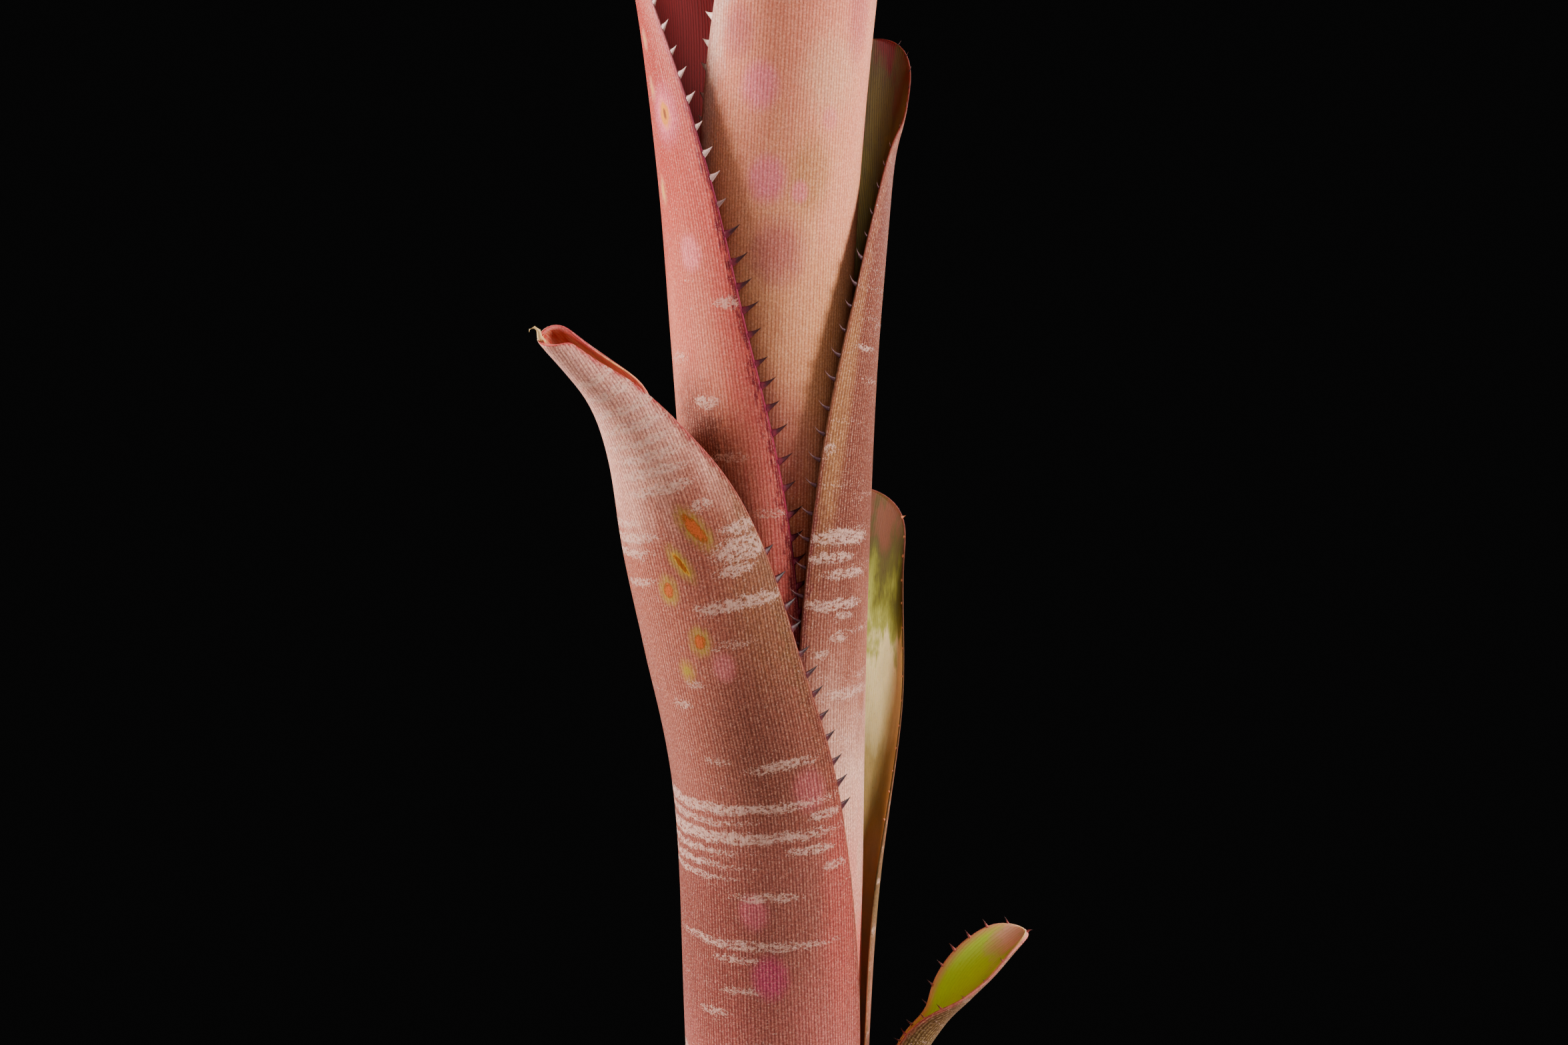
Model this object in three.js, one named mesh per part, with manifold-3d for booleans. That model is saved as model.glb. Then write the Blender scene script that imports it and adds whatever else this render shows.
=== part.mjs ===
// Potted tubular bromeliad: toothed leaves rolled round one another into a narrow upright tube, on a short
// stock set in a bark mix, in a plain clay pot. Millimetres, +Z up, origin at the centre of the pot's base.
// Azimuth 0 faces the front (-Y) and 90 faces +X.

import * as THREE from 'three';
import Module from 'manifold-3d';
import { mergeVertices } from 'three/addons/utils/BufferGeometryUtils.js';

// Driving dimensions
const POT_HEIGHT = 95;
const POT_RIM_RADIUS = 57.5;
const POT_BASE_RADIUS = 38;
const POT_WALL = 5;
const POT_FLOOR = 6;
const POT_RIM_BAND = 22;
const POT_RIM_STEP = 3.6;
const POT_RIM_WIDTH = 6;
const DRAIN_RADIUS = 7;

const SEAT_GAP = 0.3;
const MIX_SURFACE = 84;
const MIX_LUMP = 0.9;
const HOLE_RADIUS = 19.3;
const HOLE_FLOOR = 56;
const CHIP_COUNT = 26;
const CHIP_INNERMOST = 27.5;
const CHIP_OUTERMOST = 44;
const CHIP_TILT = 0.5;
const CHIP_LIFT = 0.5;
const GOLDEN_ANGLE = Math.PI * (3 - Math.sqrt(5));

const STOCK_RADIUS = 18.9;
const STOCK_SHOULDER = 61;
const STOCK_SLOPE = 0.8;

const LEAF_THICKNESS = 0.8;
const TOOTH_BASE = 1.6;
const TOOTH_SPACING = 4.3;
const TOOTH_JITTER = 0.16;

// How finely a leaf is sampled and split
const PATH_SAMPLES = 240;
const PATH_STEP = 0.5;
const NARROWEST = 0.3;
const SHEATH_STEP = 24;
const BLADE_STEP = 9.5;
const LEAST_STEP = 0.5;
const POT_SIDES = 44;
const STOCK_SIDES = 32;

// One station of a leaf: height and distance from the axis of the midrib's outer face, radius that the blade
// is rolled to, half width along the blade, azimuth of the midrib, and turn of the blade about the midrib.
function station(height, out, roll, half, azimuth, turn = 0) {
  return { height, out, roll, half, azimuth, turn };
}

// The station at a leaf's base, round the axis.
function seated(radius, half, azimuth) {
  return { out: radius, roll: radius, half, azimuth, turn: 0 };
}

// The leaves, from the innermost to the outermost. apex is the length over which the tip is rounded,
// teethFrom the height at which the margins start to be toothed, bareTip the length of tip with no teeth,
// tooth how long a tooth is, and columns how many facets go across. The stock gives the height of a seated
// station.
const LEAVES = [
  { name: 'heart_leaf', colour: 0xb9a06a, apex: 8, teethFrom: 212, bareTip: 1.2, tooth: 2,
    columns: 8, stations: [
    seated(4.3, 9, 60), station(110, 5.6, 5.6, 12, 60), station(170, 7.2, 7.2, 15, 60),
    station(215, 7.4, 7.4, 13, 60), station(238, 7.6, 7.4, 9, 60)] },
  { name: 'young_leaf', colour: 0xb98a5e, apex: 12, teethFrom: 262, bareTip: 1.2, tooth: 2.6,
    columns: 10, stations: [
    seated(5.9, 13, -150), station(110, 7.4, 7.4, 17, -150), station(150, 9.2, 9.2, 21, -150),
    station(230, 9.6, 9.5, 21, -150), station(275, 10.3, 9.9, 18, -150),
    station(306, 11.3, 10.5, 11, -150)] },
  { name: 'front_right_leaf', colour: 0xc58f5a, apex: 16, teethFrom: 246, bareTip: 1.2, tooth: 2.6,
    columns: 11, stations: [
    seated(7.5, 18, 40), station(100, 9, 9, 22, 40), station(150, 11.1, 11.1, 27, 40),
    station(230, 11.4, 11.4, 27.5, 40), station(290, 13.3, 13.4, 28.3, 42), station(332, 17.6, 15.2, 23, 40),
    station(362, 23.5, 18, 14, 35)] },
  { name: 'left_leaf', colour: 0xb8736a, apex: 16, teethFrom: 222, bareTip: 1.2, tooth: 2.6,
    columns: 10, stations: [
    seated(9.1, 18, -96), station(100, 10.6, 10.6, 21, -96), station(150, 12.9, 12.8, 26.3, -94),
    station(230, 15.2, 13.5, 27.6, -92), station(280, 18.2, 15.3, 23.3, -97),
    station(306, 20.3, 17.6, 21.1, -103), station(332, 24.1, 19.1, 16.9, -115),
    station(354, 28.6, 20, 12.5, -116)] },
  { name: 'right_leaf', colour: 0xa9746a, apex: 12, teethFrom: 222, bareTip: 1.2, tooth: 2.6,
    columns: 9, stations: [
    seated(10.7, 16.5, 100), station(100, 12.2, 12.2, 19, 100), station(150, 14.7, 14.5, 23, 100),
    station(230, 15.8, 14.7, 22.8, 101), station(280, 18.2, 16.4, 21, 118), station(306, 24, 19.6, 18, 142),
    station(327, 29.6, 20.4, 13.5, 150)] },
  { name: 'front_left_leaf', colour: 0xa8786c, apex: 3, teethFrom: 192, bareTip: 42, tooth: 2.5,
    columns: 11, stations: [
    seated(12.3, 24, -50), station(100, 13.9, 13.9, 28, -50), station(150, 16.2, 16.4, 32.5, -50),
    station(195, 17.9, 17.5, 28.8, -52), station(223, 24.4, 17.6, 25.3, -50, -2),
    station(245, 29.1, 13, 21.6, -53, 2), station(259, 32.8, 8, 16.2, -56, -13),
    station(267, 36, 4.5, 12.2, -57, -30), station(272.5, 40.3, 3.1, 8.8, -56, -40),
    station(277.5, 46, 2.4, 6.2, -54, -32)] },
  { name: 'back_right_leaf', colour: 0x8f8a4c, apex: 10, teethFrom: 186, bareTip: 1.2, tooth: 2.4,
    columns: 9, stations: [
    seated(13.9, 22, 155), station(100, 15.5, 15.5, 23.4, 156, -2), station(150, 18, 17.9, 25.2, 157, -5),
    station(176, 20.9, 18, 25.5, 155, -4), station(210, 26.1, 19.2, 22.6, 154),
    station(235, 29.3, 16.5, 17.6, 151.5), station(247, 31.6, 18, 13.2, 150)] },
  { name: 'low_right_leaf', colour: 0x8f9a3e, apex: 6, teethFrom: 138, bareTip: 1.2, tooth: 1.8,
    columns: 9, stations: [
    seated(15.5, 22, 84), station(100, 17.1, 17.1, 22, 84), station(122, 18.9, 18.2, 17, 84),
    station(134, 21.2, 12, 11.5, 84, -2), station(143, 24, 5.8, 8.6, 84, -6),
    station(150, 26.5, 4.1, 7.5, 83, -7), station(155, 29.7, 4.5, 6.6, 84, -1),
    station(158.8, 32.3, 5.5, 7.1, 85.5, 24), station(165, 36.7, 6.1, 6.8, 87, 34),
    station(172, 44.3, 5.3, 5.1, 86.5, 6)] },
  { name: 'basal_left_leaf', colour: 0x93963f, apex: 8, teethFrom: 106, bareTip: 1.2, tooth: 1.6,
    columns: 7, stations: [
    seated(15.5, 18, -95), station(88, 16.7, 16.7, 17, -95), station(104, 19.6, 15, 13.5, -95),
    station(114, 24, 10.5, 10.8, -95), station(122, 30.5, 9.5, 10, -95), station(128, 38.5, 10, 8.8, -94),
    station(131, 47.5, 12, 5.5, -93)] },
  { name: 'basal_front_leaf', colour: 0x9a9a48, apex: 8, teethFrom: 98, bareTip: 1.2, tooth: 1.6,
    columns: 7, stations: [
    seated(17.1, 17, -12), station(88, 18, 18, 15.2, -12), station(99, 20.9, 14.5, 12.3, -12),
    station(107, 26.3, 10.5, 10.2, -12), station(112, 34, 9.8, 9.4, -13), station(113.5, 42, 11, 8, -14),
    station(112, 49.5, 13, 5, -15)] },
  { name: 'basal_back_leaf', colour: 0x8b9042, apex: 8, teethFrom: 100, bareTip: 1.2, tooth: 1.6,
    columns: 7, stations: [
    seated(17.1, 16, 158), station(88, 18.1, 18.1, 14.5, 158), station(101, 21.3, 13.5, 11.6, 158),
    station(109.5, 27.2, 10, 9.8, 158), station(114.5, 36, 9.8, 9, 157),
    station(116, 46, 12.5, 5.2, 156)] },
];

// A repeatable draw of numbers from 0 to 1.
function randomDraw(seed) {
  let state = seed;
  return () => {
    state = (state * 16807) % 2147483647;
    return state / 2147483647;
  };
}

// Height of the stock's cone at a radius.
function stockTop(radius) {
  return STOCK_SHOULDER + (STOCK_RADIUS - radius) * STOCK_SLOPE;
}

// Inner radius of the pot at a height.
function potInside(height) {
  const atBase = POT_BASE_RADIUS - POT_WALL;
  return atBase + (POT_RIM_RADIUS - POT_RIM_WIDTH - atBase) * height / POT_HEIGHT;
}

// Smooth curve through evenly spaced values, straight at its ends.
function smooth(values, t) {
  const last = values.length - 1;
  const i = Math.min(Math.floor(t), last - 1);
  const f = t - i;
  const from = values[i];
  const to = values[i + 1];
  const before = i > 0 ? values[i - 1] : 2 * from - to;
  const after = i + 2 <= last ? values[i + 2] : 2 * to - from;
  const leave = (to - before) / 2;
  const arrive = (after - from) / 2;
  const ease = f * f * (3 - 2 * f);
  return from + (to - from) * ease + leave * f * (1 - f) * (1 - f) - arrive * f * f * (1 - f);
}

// Value at x between the samples of a rising list.
function lookUp(xs, ys, x) {
  let low = 0;
  let high = xs.length - 1;
  while (high - low > 1) {
    const middle = (low + high) >> 1;
    if (xs[middle] <= x) {
      low = middle;
    } else {
      high = middle;
    }
  }
  const f = THREE.MathUtils.clamp((x - xs[low]) / (xs[high] - xs[low]), 0, 1);
  return ys[low] + (ys[high] - ys[low]) * f;
}

// The form of one leaf: a trough swept along its midrib, addressed by the length run from its base and by a
// place across it from -1 to 1, where -1 and 1 are its margins.
class LeafForm {
  constructor(leaf) {
    const [first, ...others] = leaf.stations;
    const facet = first.half / first.roll / leaf.columns;
    const seat = stockTop((first.roll - LEAF_THICKNESS) * Math.cos(facet)) + SEAT_GAP;
    const stations = [{ ...first, height: seat }, ...others];
    const track = (value) => {
      const values = stations.map(value);
      return Array.from({ length: PATH_SAMPLES + 1 }, (_, k) => (
        smooth(values, k / PATH_SAMPLES * (values.length - 1))));
    };
    this.z = track((s) => s.height);
    this.roll = track((s) => s.roll);
    this.half = track((s) => s.half);
    this.turn = track((s) => THREE.MathUtils.degToRad(s.turn));
    this.azimuth = track((s) => THREE.MathUtils.degToRad(s.azimuth));
    const out = track((s) => s.out);
    this.x = out.map((distance, k) => distance * Math.sin(this.azimuth[k]));
    this.y = out.map((distance, k) => -distance * Math.cos(this.azimuth[k]));
    this.runs = [0];
    for (let k = 1; k <= PATH_SAMPLES; k++) {
      const [dx, dy, dz] = [this.x, this.y, this.z].map((values) => values[k] - values[k - 1]);
      this.runs.push(this.runs[k - 1] + Math.hypot(dx, dy, dz));
    }
    this.length = this.runs[PATH_SAMPLES];
    this.apex = leaf.apex;
  }

  at(track, run) {
    return lookUp(this.runs, track, run);
  }

  midrib(run) {
    return new THREE.Vector3(this.at(this.x, run), this.at(this.y, run), this.at(this.z, run));
  }

  halfWidth(run) {
    const gone = THREE.MathUtils.clamp((run - this.length + this.apex) / this.apex, 0, 1);
    return Math.max(this.at(this.half, run) * Math.sqrt(1 - gone * gone), NARROWEST);
  }

  runAtHeight(height) {
    return lookUp(this.z, this.runs, height);
  }

  // A point on the blade, depth in from its outer face. Past the margins it follows the same roll.
  point(run, across, depth) {
    const before = this.midrib(Math.max(run - PATH_STEP, 0));
    const after = this.midrib(Math.min(run + PATH_STEP, this.length));
    const along = after.sub(before).normalize();
    const azimuth = this.at(this.azimuth, run);
    const outward = new THREE.Vector3(Math.sin(azimuth), -Math.cos(azimuth), 0);
    outward.addScaledVector(along, -outward.dot(along)).normalize();
    outward.applyAxisAngle(along, this.at(this.turn, run));
    const sideways = along.clone().cross(outward);
    const roll = this.at(this.roll, run);
    const angle = across * this.halfWidth(run) / roll;
    return this.midrib(run)
      .addScaledVector(outward, (roll - depth) * Math.cos(angle) - roll)
      .addScaledVector(sideways, (roll - depth) * Math.sin(angle));
  }
}

// Where the teeth of one margin begin and end, as runs, spaced along the margin's own length.
function toothBases(form, leaf, side, draw) {
  const runs = [0];
  const lengths = [0];
  let previous = form.point(0, side, 0);
  for (let k = 1; k <= PATH_SAMPLES; k++) {
    const run = form.length * k / PATH_SAMPLES;
    const point = form.point(run, side, 0);
    lengths.push(lengths[k - 1] + point.distanceTo(previous));
    runs.push(run);
    previous = point;
  }
  const bases = [];
  let place = lookUp(runs, lengths, form.runAtHeight(leaf.teethFrom));
  let to = 0;
  while (to < form.length - leaf.bareTip) {
    place += TOOTH_SPACING * (1 - TOOTH_JITTER + 2 * TOOTH_JITTER * draw());
    const from = lookUp(lengths, runs, place - TOOTH_BASE / 2);
    to = lookUp(lengths, runs, place + TOOTH_BASE / 2);
    bases.push({ from, to });
  }
  return bases.slice(0, -1);
}

// Runs of the rows that split a leaf along its length: wide apart in the sheath, closer in the blade, and
// two more where the tip is rounded.
function rowRuns(form, leaf) {
  const bladeStart = form.runAtHeight(leaf.teethFrom);
  const bladeEnd = form.length - leaf.apex;
  const sheathRows = Math.round(bladeStart / SHEATH_STEP);
  const bladeRows = Math.round((bladeEnd - bladeStart) / BLADE_STEP);
  const runs = [0];
  for (let k = 1; k <= sheathRows; k++) {
    runs.push(bladeStart * k / sheathRows);
  }
  for (let k = 1; k <= bladeRows; k++) {
    runs.push(bladeStart + (bladeEnd - bladeStart) * k / bladeRows);
  }
  runs.push(bladeEnd + leaf.apex * 0.5, bladeEnd + leaf.apex * 0.82);
  return runs;
}

// One leaf as a closed body: both faces split into the same triangles and joined round the margin, each
// margin tooth a four-sided spine raised from the edge, and the tip drawn out to a point.
function leafGeometry(leaf, seed) {
  const form = new LeafForm(leaf);
  const draw = randomDraw(seed);
  const runs = rowRuns(form, leaf);
  const top = runs[runs.length - 1];
  const vertices = [];
  const faces = [];

  function vertex(point) {
    vertices.push(point);
    return vertices.length - 1;
  }

  function pair(run, across) {
    const [outer, inner] = [0, LEAF_THICKNESS].map((depth) => vertex(form.point(run, across, depth)));
    return { run, outer, inner };
  }

  function blade(a, b, c) {
    faces.push(a.outer, b.outer, c.outer, a.inner, c.inner, b.inner);
  }

  function wall(a, b) {
    faces.push(b.outer, a.outer, a.inner, b.outer, a.inner, b.inner);
  }

  function tooth(a, b, side) {
    const middle = (a.run + b.run) / 2;
    const half = form.halfWidth(middle);
    const size = Math.min(leaf.tooth, half / 2) * (0.85 + 0.3 * draw());
    const run = Math.min(middle + size / 2, form.length);
    const tip = vertex(form.point(run, side * (half + size) / form.halfWidth(run), LEAF_THICKNESS / 2));
    faces.push(b.outer, a.outer, tip, a.outer, a.inner, tip, a.inner, b.inner, tip, b.inner, b.outer, tip);
  }

  // The margin's own points: at the rows that no tooth covers, and at each tooth's two ends.
  function margin(side) {
    const bases = toothBases(form, leaf, side, draw).filter(({ to }) => to < top - LEAST_STEP);
    const clear = (run) => bases.every(({ from, to }) => run < from - LEAST_STEP || run > to + LEAST_STEP);
    const marks = runs.filter((run) => run === 0 || run === top || clear(run)).map((run) => ({ run }));
    for (const { from, to } of bases) {
      marks.push({ run: from, toothed: true }, { run: to });
    }
    marks.sort((a, b) => a.run - b.run);
    return marks.map((mark) => ({ ...mark, ...pair(mark.run, side) }));
  }

  // Triangles between two columns whose points lie at different runs.
  function strip(low, high) {
    let i = 0;
    let j = 0;
    while (i + 1 < low.length || j + 1 < high.length) {
      const highNext = i + 1 >= low.length || (j + 1 < high.length && high[j + 1].run < low[i + 1].run);
      if (highNext) {
        blade(low[i], high[j], high[j + 1]);
        j += 1;
      } else {
        blade(low[i], high[j], low[i + 1]);
        i += 1;
      }
    }
  }

  const columns = [margin(-1)];
  for (let c = 1; c < leaf.columns; c++) {
    columns.push(runs.map((run) => pair(run, 2 * c / leaf.columns - 1)));
  }
  columns.push(margin(1));
  for (let c = 0; c < leaf.columns; c++) {
    strip(columns[c], columns[c + 1]);
  }

  for (const [side, marks] of [[-1, columns[0]], [1, columns[leaf.columns]]]) {
    for (let k = 0; k + 1 < marks.length; k++) {
      const [a, b] = side > 0 ? [marks[k], marks[k + 1]] : [marks[k + 1], marks[k]];
      if (marks[k].toothed) {
        tooth(a, b, side);
      } else {
        wall(a, b);
      }
    }
  }

  const tip = vertex(form.point(form.length, 0, LEAF_THICKNESS / 2));
  for (let c = 0; c < leaf.columns; c++) {
    wall(columns[c][0], columns[c + 1][0]);
    const a = columns[c].at(-1);
    const b = columns[c + 1].at(-1);
    faces.push(a.outer, b.outer, tip, b.inner, a.inner, tip);
  }
  const left = columns[0].at(-1);
  const right = columns[leaf.columns].at(-1);
  faces.push(left.outer, tip, left.inner, tip, right.outer, right.inner);

  return new THREE.BufferGeometry().setFromPoints(vertices).setIndex(faces);
}

// A closed profile of [radius, height] points turned about the axis.
function turned(profile, sides) {
  const points = profile.map(([radius, height]) => new THREE.Vector2(radius, height));
  return new THREE.LatheGeometry(points, sides).rotateX(Math.PI / 2);
}

// The pot: a tapering wall with a rim band, and a floor with one drain hole.
function potGeometry() {
  const bandFoot = POT_HEIGHT - POT_RIM_BAND;
  return turned([
    [DRAIN_RADIUS, 0],
    [POT_BASE_RADIUS - 1.2, 0],
    [POT_BASE_RADIUS, 1.5],
    [POT_RIM_RADIUS - POT_RIM_STEP, bandFoot],
    [POT_RIM_RADIUS - 1.5, bandFoot + 0.6],
    [POT_RIM_RADIUS - 1, bandFoot + 2],
    [POT_RIM_RADIUS, POT_HEIGHT - 3],
    [POT_RIM_RADIUS - 1.2, POT_HEIGHT - 0.6],
    [POT_RIM_RADIUS - 3, POT_HEIGHT],
    [potInside(POT_HEIGHT) + 1.2, POT_HEIGHT],
    [potInside(POT_HEIGHT - 1.5), POT_HEIGHT - 1.5],
    [potInside(POT_FLOOR + 3), POT_FLOOR + 3],
    [potInside(POT_FLOOR) - 2.5, POT_FLOOR],
    [DRAIN_RADIUS, POT_FLOOR],
    [DRAIN_RADIUS, 0],
  ], POT_SIDES);
}

// The short stock that the leaves grow from, a disc with a coned top.
function stockGeometry() {
  const foot = HOLE_FLOOR + SEAT_GAP;
  const shoulder = [STOCK_RADIUS, stockTop(STOCK_RADIUS)];
  return turned([[0, foot], [STOCK_RADIUS, foot], shoulder, [0, stockTop(0)]], STOCK_SIDES);
}

// The geometry with its shared corners merged and its flat triangles dropped, as a solid.
function solidOf(wasm, geometry) {
  geometry.deleteAttribute('normal');
  geometry.deleteAttribute('uv');
  const merged = mergeVertices(geometry);
  const index = merged.index.array;
  const triVerts = [];
  for (let k = 0; k < index.length; k += 3) {
    const [a, b, c] = index.slice(k, k + 3);
    if (a !== b && b !== c && c !== a) {
      triVerts.push(a, b, c);
    }
  }
  return new wasm.Manifold(new wasm.Mesh({
    numProp: 3,
    vertProperties: merged.attributes.position.array,
    triVerts: new Uint32Array(triVerts),
  }));
}

// The potting mix: it fills the pot to just under the rim, with a lumpy surface, coarse bark chips bedded in
// it, and a plain round hole in which the stock stands.
async function mixGeometry() {
  const wasm = await Module();
  wasm.setup();
  const wallTop = potInside(MIX_SURFACE) - SEAT_GAP;
  const bed = turned([
    [0, POT_FLOOR + SEAT_GAP],
    [potInside(POT_FLOOR) - 2.5 - SEAT_GAP, POT_FLOOR + SEAT_GAP],
    [potInside(POT_FLOOR + 3) - SEAT_GAP, POT_FLOOR + 3],
    [wallTop, MIX_SURFACE],
    [wallTop - 6, MIX_SURFACE],
    [wallTop - 13, MIX_SURFACE],
    [wallTop - 20, MIX_SURFACE],
    [HOLE_RADIUS + 4, MIX_SURFACE],
    [HOLE_RADIUS, MIX_SURFACE],
    [HOLE_RADIUS, HOLE_FLOOR],
    [0, HOLE_FLOOR],
  ], POT_SIDES);
  const place = bed.attributes.position;
  for (let k = 0; k < place.count; k++) {
    const x = place.getX(k);
    const y = place.getY(k);
    if (place.getZ(k) > MIX_SURFACE - 1) {
      const lump = Math.sin(x * 0.42 + 1.3) * Math.cos(y * 0.37) + 0.6 * Math.sin(x * 0.23 - y * 0.31);
      place.setZ(k, MIX_SURFACE + MIX_LUMP * lump);
    }
  }

  let mix = solidOf(wasm, bed);
  const draw = randomDraw(91);
  for (let k = 0; k < CHIP_COUNT; k++) {
    const chip = new THREE.IcosahedronGeometry(1, 0);
    chip.scale(4.2 + 1.8 * draw(), 2.6 + 1.2 * draw(), 1.5 + 0.6 * draw());
    chip.rotateX(CHIP_TILT * (draw() - 0.5));
    chip.rotateZ(2 * Math.PI * draw());
    const azimuth = GOLDEN_ANGLE * k;
    const radius = CHIP_INNERMOST + (CHIP_OUTERMOST - CHIP_INNERMOST) * Math.sqrt((k + 0.5) / CHIP_COUNT);
    chip.translate(radius * Math.cos(azimuth), radius * Math.sin(azimuth), MIX_SURFACE + CHIP_LIFT);
    mix = mix.add(solidOf(wasm, chip));
  }

  const { vertProperties, triVerts } = mix.getMesh();
  const geometry = new THREE.BufferGeometry();
  geometry.setAttribute('position', new THREE.BufferAttribute(vertProperties, 3));
  return geometry.setIndex(new THREE.BufferAttribute(triVerts, 1));
}

const part = new THREE.Group();

function addPiece(name, geometry, color, roughness) {
  const mesh = new THREE.Mesh(geometry, new THREE.MeshStandardMaterial({ color, roughness, metalness: 0 }));
  mesh.name = name;
  part.add(mesh);
}

addPiece('pot', potGeometry(), 0xb5603a, 0.85);
addPiece('potting_mix', await mixGeometry(), 0x3a271b, 0.95);
addPiece('stock', stockGeometry(), 0xa08a5c, 0.8);
LEAVES.forEach((leaf, k) => addPiece(leaf.name, leafGeometry(leaf, 11 + 7 * k), leaf.colour, 0.5));

export default part;
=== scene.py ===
# A potted tubular bromeliad: toothed leaves rolled round one another into a narrow tube, growing in bark mix
# in a clay pot. Metres, +Z up, the pot's base at the origin. Leaf shapes are written in millimetres.

import math
import random

import bpy
import numpy as np
from mathutils import Euler, Matrix, Vector


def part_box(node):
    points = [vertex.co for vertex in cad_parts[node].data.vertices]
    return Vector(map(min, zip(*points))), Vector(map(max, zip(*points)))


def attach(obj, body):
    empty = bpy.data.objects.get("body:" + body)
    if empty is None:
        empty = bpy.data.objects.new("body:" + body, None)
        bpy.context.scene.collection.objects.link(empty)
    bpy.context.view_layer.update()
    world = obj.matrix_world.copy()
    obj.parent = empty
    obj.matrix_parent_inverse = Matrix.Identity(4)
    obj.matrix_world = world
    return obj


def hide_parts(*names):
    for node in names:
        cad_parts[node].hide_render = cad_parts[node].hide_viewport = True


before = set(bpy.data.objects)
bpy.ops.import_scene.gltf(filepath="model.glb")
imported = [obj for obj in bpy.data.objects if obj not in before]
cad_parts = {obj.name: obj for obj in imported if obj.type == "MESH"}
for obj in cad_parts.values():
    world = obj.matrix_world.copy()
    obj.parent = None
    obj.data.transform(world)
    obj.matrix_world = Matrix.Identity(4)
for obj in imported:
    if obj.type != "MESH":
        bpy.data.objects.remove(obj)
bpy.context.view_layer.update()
MM = 0.001

# Camera
# A short telephoto lens set level with the tall leaves and tilted a little down at them, a third of a
# metre in front of the tube. The pot is below the picture.
CAMERA_PLACE = (0.0013, -0.350, 0.298)
CAMERA_TILT = 8.7
LENS = 47.45
SENSOR_WIDTH = 36
NEAREST_SEEN = 0.01

bpy.ops.object.camera_add(location=CAMERA_PLACE, rotation=(math.radians(90 - CAMERA_TILT), 0, 0))
camera = bpy.context.object
camera.data.sensor_width = SENSOR_WIDTH
camera.data.lens = LENS
camera.data.clip_start = NEAREST_SEEN
bpy.context.scene.camera = camera

# Studio
# A pale table top that ends a forearm's length behind the pot, in a dark room. Two softboxes stand at the
# plant's left and right, a little above it, and weaker ones in front, at the back left and behind.
FLOOR_WIDTH = 1.3
FLOOR_FRONT = -0.95
FLOOR_BACK = 0.335
FLOOR_THICKNESS = 0.012
FLOOR_EDGE = 0.004
ROOM_GREY = 0.003
AIM = Vector((0, 0, 0.235))


def softbox(name, place, side, watts, colour):
    """A square lamp aimed at the middle of the leaves."""
    turn = (AIM - Vector(place)).to_track_quat("-Z", "Y").to_euler()
    bpy.ops.object.light_add(type="AREA", location=place, rotation=turn)
    lamp = bpy.context.object
    lamp.name = name
    lamp.data.size = side
    lamp.data.energy = watts
    lamp.data.color = colour


softbox("key_left", (-0.55, -0.040, 0.50), 0.28, 7.3, (1.0, 0.93, 0.88))
softbox("key_right", (0.540, -0.110, 0.50), 0.17, 6.9, (1.0, 0.93, 0.88))
softbox("fill_front", (0.05, -0.80, 0.45), 0.40, 1.3, (1.0, 0.94, 0.88))
softbox("fill_left", (-0.60, 0.092, 0.36), 0.16, 3.0, (1.0, 0.94, 0.88))
softbox("fill_back", (0.45, 0.62, 0.50), 0.50, 3.0, (1.0, 0.96, 0.92))

world = bpy.data.worlds.new("dark_room")
world.use_nodes = True
world.node_tree.nodes["Background"].inputs["Color"].default_value = (ROOM_GREY, ROOM_GREY, ROOM_GREY, 1)
bpy.context.scene.world = world

bpy.ops.object.select_all(action="DESELECT")
bpy.ops.mesh.primitive_cube_add(size=1, location=(0, (FLOOR_FRONT + FLOOR_BACK) / 2, -FLOOR_THICKNESS / 2))
floor = bpy.context.object
floor.name = "table_top"
floor.scale = (FLOOR_WIDTH, FLOOR_BACK - FLOOR_FRONT, FLOOR_THICKNESS)
bpy.ops.object.transform_apply(location=True, rotation=True, scale=True)
bpy.ops.object.modifier_add(type="BEVEL")
floor.modifiers[-1].width = FLOOR_EDGE
floor.modifiers[-1].segments = 3
bpy.ops.object.modifier_apply(modifier=floor.modifiers[-1].name)

floor_paint = bpy.data.materials.new("pale_table")
floor_paint.use_nodes = True
floor_shader = floor_paint.node_tree.nodes["Principled BSDF"]
floor_shader.inputs["Base Color"].default_value = (0.62, 0.61, 0.59, 1)
floor_shader.inputs["Roughness"].default_value = 0.7
floor.data.materials.append(floor_paint)

# Pot
# A plain round pot of fired clay, thrown on a wheel: a tapering wall with a rim band, a flat foot and one
# drain hole. The clay is unglazed, with turning lines, fine pits and a chalky bloom where damp dries out.
pot_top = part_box("pot")[1]
POT_HEIGHT = pot_top.z
POT_RIM_RADIUS = pot_top.x
POT_BASE_RADIUS = 0.038
POT_WALL = 0.005
POT_FLOOR = 0.006
POT_RIM_BAND = 0.022
POT_RIM_STEP = 0.0036
POT_RIM_WIDTH = 0.006
DRAIN_RADIUS = 0.007
INNER_CORNER = 0.003
INNER_CORNER_REACH = 0.0025
EDGE_WEAR = 0.0007
POT_SIDES = 112
LOW_DAMP_TOP = 0.045
HIGH_DAMP_DEPTH = 0.02


def pot_inside(height):
    """Inner radius of the pot at a height."""
    at_base = POT_BASE_RADIUS - POT_WALL
    return at_base + (POT_RIM_RADIUS - POT_RIM_WIDTH - at_base) * height / POT_HEIGHT


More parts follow.
